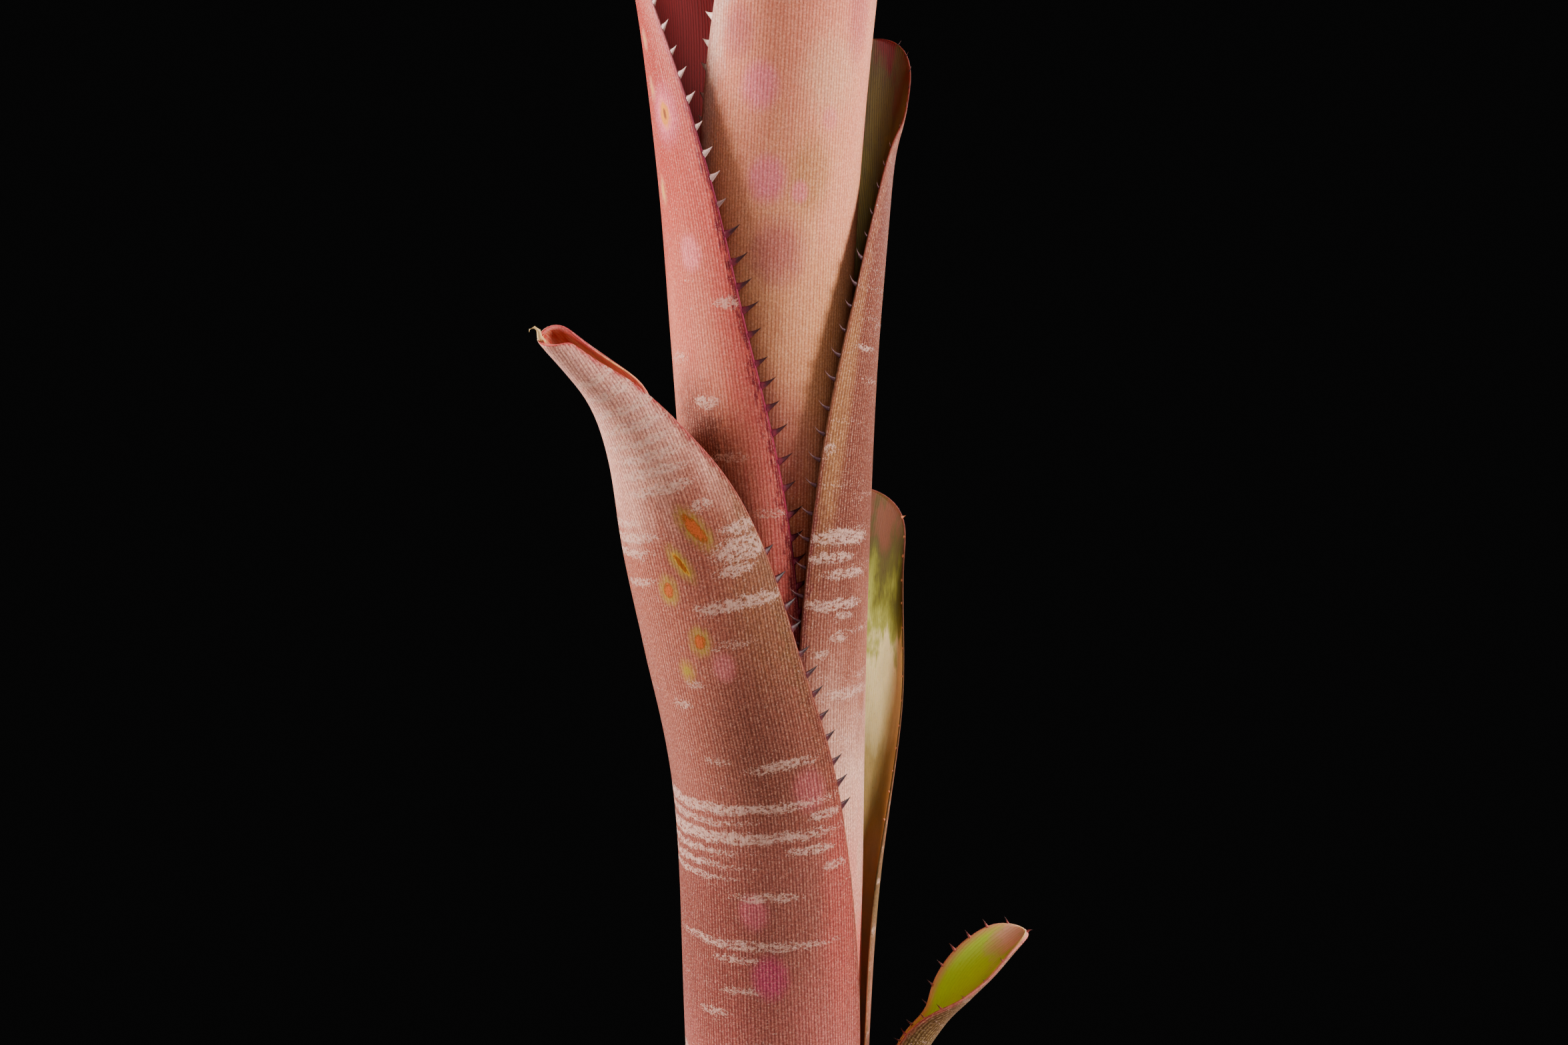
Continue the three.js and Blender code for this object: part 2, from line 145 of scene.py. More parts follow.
def turned(name, profile, sides):
    """A ring drawn through each radius and height of a profile that ends where it starts."""
    bpy.ops.object.select_all(action="DESELECT")
    radius, height = profile[0]
    bpy.ops.mesh.primitive_circle_add(vertices=sides, radius=radius, location=(0, 0, height))
    piece = bpy.context.object
    piece.name = name
    bpy.ops.object.transform_apply(location=True, rotation=True, scale=True)
    bpy.ops.object.mode_set(mode="EDIT")
    bpy.ops.mesh.select_all(action="SELECT")
    for next_radius, next_height in profile[1:]:
        bpy.ops.mesh.extrude_region_move(TRANSFORM_OT_translate={"value": (0, 0, next_height - height)})
        widening = next_radius / radius
        bpy.ops.transform.resize(value=(widening, widening, 1), center_override=(0, 0, next_height))
        radius, height = next_radius, next_height
    bpy.ops.mesh.select_all(action="SELECT")
    bpy.ops.mesh.remove_doubles(threshold=0.00001)
    bpy.ops.mesh.normals_make_consistent(inside=False)
    bpy.ops.object.mode_set(mode="OBJECT")
    return piece


def finish_with(piece, kind, **settings):
    """Adds one modifier with its settings and applies it."""
    bpy.context.view_layer.objects.active = piece
    bpy.ops.object.modifier_add(type=kind)
    modifier = piece.modifiers[-1]
    for name, value in settings.items():
        setattr(modifier, name, value)
    bpy.ops.object.modifier_apply(modifier=modifier.name)


def smooth_shaded(piece):
    bpy.ops.object.select_all(action="DESELECT")
    piece.select_set(True)
    bpy.context.view_layer.objects.active = piece
    bpy.ops.object.shade_smooth()


class Paint:
    """A material drawn up node by node. Each call adds a node and gives back the socket that it puts out."""

    def __init__(self, name, roughness, specular):
        self.material = bpy.data.materials.new(name)
        self.material.use_nodes = True
        self.tree = self.material.node_tree
        self.shader = self.tree.nodes["Principled BSDF"].inputs
        self.shader["Roughness"].default_value = roughness
        self.shader["Specular IOR Level"].default_value = specular

    def node(self, kind, inputs, **settings):
        node = self.tree.nodes.new(kind)
        for name, value in settings.items():
            setattr(node, name, value)
        for name, value in inputs.items():
            self.feed(node.inputs[name], value)
        return node

    def feed(self, socket, value):
        if isinstance(value, bpy.types.NodeSocket):
            self.tree.links.new(value, socket)
        else:
            socket.default_value = value

    def place(self):
        return self.node("ShaderNodeTexCoord", {}).outputs["Object"]

    def attribute(self, name):
        return self.node("ShaderNodeAttribute", {}, attribute_name=name).outputs["Fac"]

    def math(self, operation, a, b=0.0):
        return self.node("ShaderNodeMath", {0: a, 1: b}, operation=operation).outputs[0]

    def join(self, x, y, z=0.0):
        return self.node("ShaderNodeCombineXYZ", {"X": x, "Y": y, "Z": z}).outputs[0]

    def height_of(self, vector):
        return self.node("ShaderNodeSeparateXYZ", {0: vector}).outputs["Z"]

    def stretched(self, vector, scale):
        return self.node("ShaderNodeMapping", {"Vector": vector, "Scale": scale}).outputs[0]

    def noise(self, vector, scale, detail=3.0, roughness=0.55):
        inputs = {"Vector": vector, "Scale": scale, "Detail": detail, "Roughness": roughness}
        return self.node("ShaderNodeTexNoise", inputs).outputs["Fac"]

    def cells(self, vector, scale, randomness=1.0):
        inputs = {"Vector": vector, "Scale": scale, "Randomness": randomness}
        return self.node("ShaderNodeTexVoronoi", inputs).outputs["Distance"]

    def grade(self, value, low, high, to_low=0.0, to_high=1.0):
        inputs = {"Value": value, "From Min": low, "From Max": high, "To Min": to_low, "To Max": to_high}
        return self.node("ShaderNodeMapRange", inputs, interpolation_type="SMOOTHSTEP").outputs[0]

    def spot(self, vector, centre, radii, tilt=0.0):
        """1 at the centre of an oval, falling evenly to 0 at its edge."""
        turn = (0, 0, math.radians(tilt))
        inputs = {"Vector": vector, "Location": centre, "Rotation": turn, "Scale": radii}
        oval = self.node("ShaderNodeMapping", inputs, vector_type="TEXTURE").outputs[0]
        ball = self.node("ShaderNodeTexGradient", {"Vector": oval}, gradient_type="SPHERICAL")
        return ball.outputs["Fac"]

    def mix(self, factor, under, colour, blend="MIX"):
        """A colour, as a triple from 0 to 255 or a socket, laid over another by a factor."""
        if not isinstance(colour, bpy.types.NodeSocket):
            colour = srgb(*colour)
        node = self.node(
            "ShaderNodeMix", {0: factor, 6: under, 7: colour}, data_type="RGBA", blend_type=blend)
        return node.outputs[2]

    def ramp(self, factor, stops):
        """Colours along a line, from (place, colour) stops in rising order, each colour from 0 to 255."""
        node = self.node("ShaderNodeValToRGB", {"Fac": factor})
        elements = node.color_ramp.elements
        while len(elements) < len(stops):
            elements.new(0.5)
        for element, (place, _) in zip(elements, stops):
            element.position = place
        for element, (_, colour) in zip(elements, stops):
            element.color = srgb(*colour)
        return node.outputs["Color"]

    def bump(self, height, distance, strength=1.0):
        inputs = {"Height": height, "Distance": distance, "Strength": strength}
        self.feed(self.shader["Normal"], self.node("ShaderNodeBump", inputs).outputs[0])


def srgb(red, green, blue):
    """The linear colour for one given from 0 to 255 as a screen shows it."""
    linear = [((v / 255 + 0.055) / 1.055) ** 2.4 if v > 10 else v / 255 / 12.92 for v in (red, green, blue)]
    return (*linear, 1)


band_foot = POT_HEIGHT - POT_RIM_BAND
pot = turned("clay_pot", [
    (DRAIN_RADIUS, 0),
    (POT_BASE_RADIUS - 0.0012, 0),
    (POT_BASE_RADIUS, 0.0015),
    (POT_RIM_RADIUS - POT_RIM_STEP, band_foot),
    (POT_RIM_RADIUS - 0.0015, band_foot + 0.0006),
    (POT_RIM_RADIUS - 0.001, band_foot + 0.002),
    (POT_RIM_RADIUS, POT_HEIGHT - 0.003),
    (POT_RIM_RADIUS - 0.0012, POT_HEIGHT - 0.0006),
    (POT_RIM_RADIUS - 0.003, POT_HEIGHT),
    (pot_inside(POT_HEIGHT) + 0.0012, POT_HEIGHT),
    (pot_inside(POT_HEIGHT - 0.0015), POT_HEIGHT - 0.0015),
    (pot_inside(POT_FLOOR + INNER_CORNER), POT_FLOOR + INNER_CORNER),
    (pot_inside(POT_FLOOR) - INNER_CORNER_REACH, POT_FLOOR),
    (DRAIN_RADIUS, POT_FLOOR),
    (DRAIN_RADIUS, 0),
], POT_SIDES)
finish_with(pot, "BEVEL", width=EDGE_WEAR, segments=3, limit_method="ANGLE", angle_limit=math.radians(25))
smooth_shaded(pot)

clay = Paint("fired_clay", roughness=0.85, specular=0.3)
where = clay.place()
height = clay.height_of(where)
cloud = clay.noise(where, 38, detail=5)
fine = clay.noise(where, 900, detail=4, roughness=0.65)
turning = clay.noise(clay.stretched(where, (6, 6, 900)), 1, detail=3)
body = clay.ramp(cloud, [(0.3, (150, 78, 50)), (0.55, (178, 98, 64)), (0.75, (196, 118, 82))])
body = clay.mix(clay.grade(fine, 0.55, 0.75, 0, 0.35), body, (112, 56, 38))
body = clay.mix(clay.grade(turning, 0.5, 0.7, 0, 0.2), body, (205, 140, 104))
low_damp = clay.grade(height, LOW_DAMP_TOP, 0.008)
high_damp = clay.grade(height, POT_HEIGHT - HIGH_DAMP_DEPTH, POT_HEIGHT - 0.002)
damp = clay.math("MAXIMUM", low_damp, high_damp)
patchy = clay.grade(clay.noise(where, 95, detail=6, roughness=0.7), 0.46, 0.66)
bloom = clay.math("MULTIPLY", clay.math("MULTIPLY", damp, patchy), 0.6)
clay.feed(clay.shader["Base Color"], clay.mix(bloom, body, (222, 204, 186)))
clay.bump(clay.math("ADD", clay.math("MULTIPLY", fine, 0.5), clay.math("MULTIPLY", turning, 0.6)), 0.0003)
pot.data.materials.append(clay.material)
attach(pot, "root")
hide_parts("pot")

# Potting mix
# An open mix of pine bark, filled to a finger's width under the rim, its surface lumpy. The stock stands in
# a round hole in the middle. Coarse chips and white grains of perlite lie bedded in the top.
SEAT_GAP = 0.0003
MIX_SURFACE = 0.084
MIX_LUMP = 0.0009
HOLE_RADIUS = 0.0193
HOLE_FLOOR = 0.056
MIX_RINGS = 14
CHIP_KINDS = 5
CHIP_COUNT = 250
GRAIN_KINDS = 3
GRAIN_COUNT = 42
CHIP_KEEP_OUT = 0.0215
MOST_TRIES = 20000
AXIS_GAP = 0.0001
AXIS_MERGE = 0.00015


def mix_height(x, y):
    """Height of the mix's surface at a place."""
    x, y = x / MM, y / MM
    lump = math.sin(x * 0.42 + 1.3) * math.cos(y * 0.37) + 0.6 * math.sin(x * 0.23 - y * 0.31)
    return MIX_SURFACE + MIX_LUMP * lump


wall_top = pot_inside(MIX_SURFACE) - SEAT_GAP
rings = [wall_top + (HOLE_RADIUS - wall_top) * k / MIX_RINGS for k in range(MIX_RINGS + 1)]
bed = turned("bark_mix_bed", [
    (AXIS_GAP, POT_FLOOR + SEAT_GAP),
    (pot_inside(POT_FLOOR) - INNER_CORNER_REACH - SEAT_GAP, POT_FLOOR + SEAT_GAP),
    (pot_inside(POT_FLOOR + INNER_CORNER) - SEAT_GAP, POT_FLOOR + INNER_CORNER),
    *[(radius, MIX_SURFACE) for radius in rings],
    (HOLE_RADIUS, HOLE_FLOOR),
    (AXIS_GAP, HOLE_FLOOR),
], POT_SIDES)
bpy.ops.object.mode_set(mode="EDIT")
bpy.ops.mesh.select_all(action="SELECT")
bpy.ops.mesh.remove_doubles(threshold=AXIS_MERGE)
bpy.ops.object.mode_set(mode="OBJECT")
for vertex in bed.data.vertices:
    if vertex.co.z > MIX_SURFACE - MM:
        vertex.co.z = mix_height(vertex.co.x, vertex.co.y)
smooth_shaded(bed)

humus = Paint("damp_humus", roughness=0.95, specular=0.2)
where = humus.place()
crumbs = humus.cells(where, 620)
grit = humus.noise(where, 1500, detail=4, roughness=0.7)
shade = humus.ramp(grit, [(0.3, (30, 20, 14)), (0.55, (66, 46, 32)), (0.75, (104, 78, 56))])
humus.feed(humus.shader["Base Color"], shade)
humus.bump(humus.math("ADD", crumbs, grit), 0.0012)
bed.data.materials.append(humus.material)
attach(bed, "root")
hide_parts("potting_mix")

draw = random.Random(17)


def rough_lump(name, size, bevel, jitter):
    """A small block with its edges broken and its corners pushed about."""
    bpy.ops.object.select_all(action="DESELECT")
    bpy.ops.mesh.primitive_cube_add(size=1)
    lump = bpy.context.object
    lump.name = name
    lump.scale = size
    bpy.ops.object.transform_apply(location=True, rotation=True, scale=True)
    bpy.ops.object.mode_set(mode="EDIT")
    bpy.ops.mesh.select_all(action="SELECT")
    bpy.ops.mesh.bevel(offset=bevel, segments=1)
    bpy.ops.object.mode_set(mode="OBJECT")
    for vertex in lump.data.vertices:
        vertex.co += Vector([draw.uniform(-jitter, jitter) for _ in range(3)])
    return lump


def laid(kind, x, y, lift, scale):
    """A copy of a lump with its own mesh, lying on the mix at a place, turned any way and tilted a little."""
    copy = kind.copy()
    copy.data = kind.data.copy()
    bpy.context.collection.objects.link(copy)
    tilt = Euler((draw.uniform(-0.4, 0.4), draw.uniform(-0.35, 0.35), draw.uniform(0, 2 * math.pi)))
    turn = tilt.to_matrix().to_4x4() @ Matrix.Scale(scale, 4)
    copy.data.transform(Matrix.Translation((x, y, mix_height(x, y) + lift)) @ turn)
    tone = copy.data.attributes.new("tone", "FLOAT", "POINT")
    tone.data.foreach_set("value", [draw.random()] * len(copy.data.vertices))
    return copy


def spread(kinds, count, reach, apart, lift, smallest, largest):
    """Lays copies on the ring of mix between the leaves and the wall, at least reach from both, with no two
    closer than apart."""
    places = []
    copies = []
    tries = 0
    while len(copies) < count and tries < MOST_TRIES:
        tries += 1
        azimuth = draw.uniform(0, 2 * math.pi)
        inner = CHIP_KEEP_OUT + reach
        outer = wall_top - reach
        radius = math.sqrt(draw.uniform(inner ** 2, outer ** 2))
        x, y = radius * math.cos(azimuth), radius * math.sin(azimuth)
        if all(math.hypot(x - a, y - b) > apart for a, b in places):
            places.append((x, y))
            copies.append(laid(draw.choice(kinds), x, y, lift, draw.uniform(smallest, largest)))
    return copies


def gathered(name, pieces, unused):
    """Joins the pieces into one object, and deletes the ones that they were copied from."""
    bpy.ops.object.select_all(action="DESELECT")
    for piece in pieces:
        piece.select_set(True)
    bpy.context.view_layer.objects.active = pieces[0]
    bpy.ops.object.join()
    whole = bpy.context.object
    whole.name = name
    for piece in unused:
        bpy.data.objects.remove(piece)
    return whole


chip_kinds = [
    rough_lump(
        f"chip_{k}", (draw.uniform(7, 10) * MM, draw.uniform(4.5, 6.5) * MM, draw.uniform(2, 3.2) * MM),
        bevel=0.7 * MM, jitter=0.45 * MM)
    for k in range(CHIP_KINDS)
]
coarse = spread(chip_kinds, CHIP_COUNT // 2, reach=5.2 * MM, apart=5.0 * MM, lift=0.9 * MM,
                smallest=0.8, largest=1.05)
small = spread(chip_kinds, CHIP_COUNT // 2, reach=2.4 * MM, apart=3.0 * MM, lift=1.1 * MM,
               smallest=0.3, largest=0.5)
chips = gathered("bark_chips", coarse + small, chip_kinds)

bark = Paint("pine_bark", roughness=0.9, specular=0.25)
where = bark.place()
tone = bark.attribute("tone")
grain = bark.noise(bark.stretched(where, (500, 500, 1600)), 1, detail=5, roughness=0.65)
outer_bark = bark.ramp(tone, [(0.0, (58, 36, 25)), (0.4, (92, 56, 38)), (0.75, (126, 78, 52)),
                              (1.0, (158, 110, 78))])
cracks = bark.grade(grain, 0.35, 0.65, 0, 0.7)
bark.feed(bark.shader["Base Color"], bark.mix(cracks, outer_bark, (34, 22, 16)))
bark.bump(grain, 0.0008)
chips.data.materials.append(bark.material)
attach(chips, "root")
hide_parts("potting_mix")

grain_kinds = [
    rough_lump(f"grain_{k}", (2.4 * MM, 2.1 * MM, 1.9 * MM), bevel=0.6 * MM, jitter=0.25 * MM)
    for k in range(GRAIN_KINDS)
]
grains = spread(grain_kinds, GRAIN_COUNT, reach=1.4 * MM, apart=4.5 * MM, lift=2.0 * MM,
                smallest=0.6, largest=1.15)
perlite = gathered("perlite_grains", grains, grain_kinds)
foam = Paint("perlite", roughness=0.9, specular=0.3)
pores = foam.noise(foam.place(), 2600, detail=3)
whites = foam.ramp(pores, [(0.3, (168, 158, 142)), (0.6, (232, 226, 214))])
foam.feed(foam.shader["Base Color"], whites)
foam.bump(pores, 0.0003)
perlite.data.materials.append(foam.material)
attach(perlite, "root")
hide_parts("potting_mix")

# Stock
# The plant's short woody stem, set in the hole in the mix and hidden by the leaf bases that grow from it.
# The solid's own disc and cone stay, with a fibrous brown finish.
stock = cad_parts["stock"]
tissue = Paint("stock_tissue", roughness=0.85, specular=0.3)
fibres = tissue.noise(tissue.stretched(tissue.place(), (900, 900, 120)), 1, detail=4)
browns = tissue.ramp(fibres, [(0.3, (96, 74, 48)), (0.7, (168, 146, 104))])
tissue.feed(tissue.shader["Base Color"], browns)
tissue.bump(fibres, 0.0005)
stock.data.materials.clear()
stock.data.materials.append(tissue.material)

# Heart leaf
# The innermost leaf, rolled tight inside the tube and only seen from above. Like every leaf it is one stiff
# strap, a little under a millimetre thick, finely ribbed along its length and toothed along both margins.
LEAF_THICKNESS = 0.8
MARGIN_THINNING = 0.5
ROW_STEP = 2.7
ROWS_AT_TIP = 6
PATH_SAMPLES = 240
NARROWEST = 0.3
TOOTH_HALF_BASE = 0.8
TOOTH_SPACING = 4.3
TOOTH_JITTER = 0.16
TOOTH_SINK = 0.35
TOOTH_HALF_THICKNESS = 0.3
TOOTHED_TIP = 0.82
FULL_TOOTH = 2
MIDDLE_DEPTH = 0.4
RIM_STARTS = 0.86
VEIN_SPACING = 0.58


def eased(values, t):
    """A smooth track through the stations' values, straight at both ends."""
    last = len(values) - 1
    padded = np.concatenate([[2 * values[0] - values[1]], values, [2 * values[-1] - values[-2]]])
    i = np.minimum(t.astype(int), last - 1)
    f = t - i
    before, start, end, after = (padded[i + k] for k in range(4))
    ease = f * f * (3 - 2 * f)
    return (start + (end - start) * ease + (end - before) / 2 * f * (1 - f) ** 2
            - (after - start) / 2 * f * f * (1 - f))


def unit(vectors):
    return vectors / np.linalg.norm(vectors, axis=-1, keepdims=True)


def next_draw(state):
    """The next number of a repeatable row of draws, with its value from 0 to 1."""
    state = state * 16807 % 2147483647
    return state, state / 2147483647


class LeafForm:
    """A leaf's form, in millimetres. Each station up the midrib gives height, distance out from the pot's
    axis, radius of the roll, half width, azimuth (0 faces the viewer, 90 is to the right) and turn about
    the midrib. A run is a distance along the midrib from the seat, a side a distance across from it."""

    def __init__(self, name, apex, stations):
        self.name = name
        rows = [tuple(row) + (0,) * (6 - len(row)) for row in stations]
        t = np.linspace(0, len(rows) - 1, PATH_SAMPLES + 1)
        tracks = [eased(np.array(track, float), t) for track in zip(*rows)]
        self.z, out, self.roll, self.half = tracks[:4]
        self.azimuth, self.turn = np.radians(tracks[4]), np.radians(tracks[5])
        self.x, self.y = out * np.sin(self.azimuth), -out * np.cos(self.azimuth)
        steps = np.sqrt(np.diff(self.x) ** 2 + np.diff(self.y) ** 2 + np.diff(self.z) ** 2)
        self.runs = np.concatenate([[0], np.cumsum(steps)])
        self.length = self.runs[-1]
        self.apex = apex

    def at(self, track, run):
        return np.interp(run, self.runs, track)

    def midrib(self, run):
        return np.stack([self.at(self.x, run), self.at(self.y, run), self.at(self.z, run)], -1)

    def half_width(self, run):
        gone = np.clip((run - self.length + self.apex) / self.apex, 0, 1)
        return np.maximum(self.at(self.half, run) * np.sqrt(1 - gone ** 2), NARROWEST)

    def frame_at(self, run):
        """The leaf's own directions at a run: along it, outwards and sideways."""
        ahead, behind = np.minimum(run + 0.5, self.length), np.maximum(run - 0.5, 0)
        along = unit(self.midrib(ahead) - self.midrib(behind))
        azimuth = self.at(self.azimuth, run)
        out = np.stack([np.sin(azimuth), -np.cos(azimuth), 0 * azimuth], -1)
        out = unit(out - along * (out * along).sum(-1, keepdims=True))
        sideways = np.cross(along, out)
        turn = self.at(self.turn, run)[..., None]
        turned_out = out * np.cos(turn) + sideways * np.sin(turn)
        return along, turned_out, sideways * np.cos(turn) - out * np.sin(turn)

    def place(self, run, side, depth=0.0):
        """A point on the outer face, or depth under it."""
        along, out, sideways = self.frame_at(run)
        roll = self.at(self.roll, run)
        angle = side / roll
        return (self.midrib(run) + out * ((roll - depth) * np.cos(angle) - roll)[..., None]
                + sideways * ((roll - depth) * np.sin(angle))[..., None])

    def teeth(self, seed, teeth_from, bare_tip, size):
        """The spines as (run of the middle, side of the margin, size), spaced along each margin."""
        state = seed
        found = []
        top = self.length - self.apex + TOOTHED_TIP * self.apex
        for sign in (-1, 1):
            runs = self.length * np.linspace(0, 1, PATH_SAMPLES + 1)
            edge = self.place(runs, sign * self.half_width(runs))
            lengths = np.concatenate([[0], np.cumsum(np.linalg.norm(np.diff(edge, axis=0), axis=1))])
            rising = int(np.argmax(self.z))
            start = np.interp(teeth_from, self.z[:rising + 1], self.runs[:rising + 1])
            place = np.interp(start, runs, lengths)
            bases = []
            end = 0.0
            while end < self.length - bare_tip:
                state, value = next_draw(state)
                place += TOOTH_SPACING * (1 - TOOTH_JITTER + 2 * TOOTH_JITTER * value)
                begin = np.interp(place - TOOTH_HALF_BASE, lengths, runs)
                end = np.interp(place + TOOTH_HALF_BASE, lengths, runs)
                bases.append((begin, end))
            found.append([(sign, *base) for base in bases[:-1] if base[1] < top - 0.5])
        spines = []
        for sign, begin, end in found[0] + found[1]:
            state, value = next_draw(state)
            middle = (begin + end) / 2
            length = min(size, float(self.half_width(np.array(middle))) / 2) * (0.85 + 0.3 * value)
            spines.append((middle, sign, length))
        return spines


def write_coordinates(mesh, points):
    """Moves a mesh's points to places given in millimetres."""
    mesh.vertices.foreach_set("co", (points * MM).astype(np.float32).ravel())
    mesh.update()


def write_attribute(mesh, name, values):
    mesh.attributes.new(name, "FLOAT", "POINT").data.foreach_set("value", values.astype(np.float32))


def read_coordinates(mesh):
    flat = np.empty(len(mesh.vertices) * 3)
    mesh.vertices.foreach_get("co", flat)
    return flat.reshape(-1, 3)


def blade(name, leaf, columns, materials):
    """The strap itself: a flat grid laid on the leaf's form, thickened inwards, its edges rounded."""
    body_rows = max(int(round((leaf.length - leaf.apex) / ROW_STEP)), 2)
    tip = np.sin(np.linspace(0, math.pi / 2, ROWS_AT_TIP + 1))[1:]
    rows = np.concatenate([np.linspace(0, leaf.length - leaf.apex, body_rows + 1),
                           leaf.length - leaf.apex + leaf.apex * tip])
    bpy.ops.object.select_all(action="DESELECT")
    bpy.ops.mesh.primitive_grid_add(x_subdivisions=columns, y_subdivisions=len(rows) - 1, size=2)
    piece = bpy.context.object
    piece.name = name
    flat = read_coordinates(piece.data)
    across = flat[:, 0]
    run = np.interp((flat[:, 1] + 1) / 2, np.linspace(0, 1, len(rows)), rows)
    side = across * leaf.half_width(run)
    write_coordinates(piece.data, leaf.place(run, side))
    write_attribute(piece.data, "run", run)
    write_attribute(piece.data, "side", side)
    write_attribute(piece.data, "across", across)
    for material in materials:
        piece.data.materials.append(material)
    body = piece.vertex_groups.new(name="body")
    for index, value in enumerate(across):
        near_margin = min(max((abs(value) - RIM_STARTS) / (1 - RIM_STARTS), 0), 1)
        body.add([index], 1 - MARGIN_THINNING * near_margin, "REPLACE")
    finish_with(piece, "SOLIDIFY", thickness=LEAF_THICKNESS * MM, offset=-1, vertex_group="body",
                material_offset=1, material_offset_rim=2)
    finish_with(piece, "SUBSURF", levels=1, render_levels=1)
    smooth_shaded(piece)
    return piece


SPINE_SIDES = 7
spine_kind = turned("spine_kind", [
    (0.01, 0), (1, 0), (0.78, 0.16), (0.56, 0.36), (0.36, 0.58), (0.17, 0.8), (0.04, 0.97), (0.01, 1),
    (0.01, 0),
], SPINE_SIDES)
bpy.ops.object.mode_set(mode="EDIT")
bpy.ops.mesh.select_all(action="SELECT")
bpy.ops.mesh.remove_doubles(threshold=0.02)
bpy.ops.object.mode_set(mode="OBJECT")
spine_points = read_coordinates(spine_kind.data)


def copied(kind, points, run, materials):
    """A copy of a small kind with its own mesh, laid on the points given, at a run along its leaf."""
    copy = kind.copy()
    copy.data = kind.data.copy()
    bpy.context.collection.objects.link(copy)
    write_coordinates(copy.data, points)
    write_attribute(copy.data, "tooth", spine_points[:, 2])
    write_attribute(copy.data, "run", np.full(len(points), run))
    for material in materials:
        copy.data.materials.append(material)
    return copy


def spine(leaf, middle, sign, size, material, slender, lean, hook):
    """One margin spine: rooted along the margin, as thick as it, and hooked up towards the tip. A small one
    has a narrower root."""
    x, y, reach = spine_points.T
    slender *= min(size / FULL_TOOTH, 1)
    run = middle + TOOTH_HALF_BASE * slender * x + lean * size * reach ** hook
    run = np.clip(run, 0, leaf.length)
    root = leaf.half_width(run) - TOOTH_SINK
    tip = leaf.half_width(np.array([middle]))[0] + size
    side = root * (1 - reach) + tip * reach
    depth = MIDDLE_DEPTH + TOOTH_HALF_THICKNESS * min(slender * 1.3, 1) * y
    return copied(spine_kind, leaf.place(run, sign * side, depth), middle, [material])


POINT_SINK = 1.2


def end_point(leaf, path, radius, material):
    """The hard point at a leaf's tip: a thin cone along a path of (sideways, outwards, along) steps."""
    steps = np.array([(0, 0, -POINT_SINK)] + list(path), float)
    x, y, reach = spine_points.T
    t = reach * (len(steps) - 1)
    line = np.stack([eased(track, t) for track in steps.T], -1)
    ahead = np.stack([eased(track, np.minimum(t + 0.05, len(steps) - 1)) for track in steps.T], -1)
    behind = np.stack([eased(track, np.maximum(t - 0.05, 0)) for track in steps.T], -1)
    forward = unit(ahead - behind)
    across = unit(np.cross(forward, (0.03, 1, 0.02)))
    thick = np.cross(across, forward)
    local = line + radius * (x[:, None] * across + y[:, None] * thick)
    along, out, sideways = (v[0] for v in leaf.frame_at(np.array([leaf.length])))
    root = leaf.place(np.array([leaf.length]), np.array([0.0]), MIDDLE_DEPTH)[0]
    points = root + local[:, :1] * sideways + local[:, 1:2] * out + local[:, 2:] * along
    return copied(spine_kind, points, leaf.length, [material])


STRAIGHT_POINT = [(0, 0, 0.2), (0, 0.1, 1.0), (0, 0.3, 1.8)]


def grow(node, leaf, columns, materials, teeth, point=STRAIGHT_POINT, point_radius=0.34,
         slender=1.0, lean=0.31, hook=1.15):
    """Makes the whole leaf that stands for a node: blade, spines and end point in one piece."""
    skin, inner, rim, horn = materials
    strap = blade(f"{node}_blade", leaf, columns, (skin, inner, rim, horn))
    spines = [spine(leaf, middle, sign, size, horn, slender, lean, hook) for middle, sign, size in teeth]
    spines.append(end_point(leaf, point, point_radius, horn))
    bpy.ops.object.select_all(action="DESELECT")
    for piece in spines:
        piece.select_set(True)
    bpy.context.view_layer.objects.active = spines[0]
    bpy.ops.object.join()
    thorns = bpy.context.object
    bpy.ops.object.mode_set(mode="EDIT")
    bpy.ops.mesh.select_all(action="SELECT")
    bpy.ops.mesh.normals_make_consistent(inside=False)
    bpy.ops.object.mode_set(mode="OBJECT")
    smooth_shaded(thorns)
    strap.select_set(True)
    bpy.context.view_layer.objects.active = strap
    bpy.ops.object.join()
    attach(strap, "root")
    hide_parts(node)
    return strap


def glow_through(paint):
    """Lets some light pass through the strap, as through a living leaf."""
    paint.shader["Subsurface Weight"].default_value = 0.4
    paint.shader["Subsurface Radius"].default_value = (1.0, 0.75, 0.3)
    paint.shader["Subsurface Scale"].default_value = 0.0016


def vein_wave(paint, side, flat):
    """1 along each of the fine dark ribs that run up a leaf, -1 halfway between them."""
    wobble = paint.noise(paint.stretched(flat, (0.5, 0.03, 1)), 1, detail=2)
    phase = paint.math("ADD", paint.math("MULTIPLY", side, 2 * math.pi / VEIN_SPACING),
                       paint.math("MULTIPLY", wobble, 8.0))
    return paint.math("SINE", phase)


PALE_SCURF = (236, 196, 180)


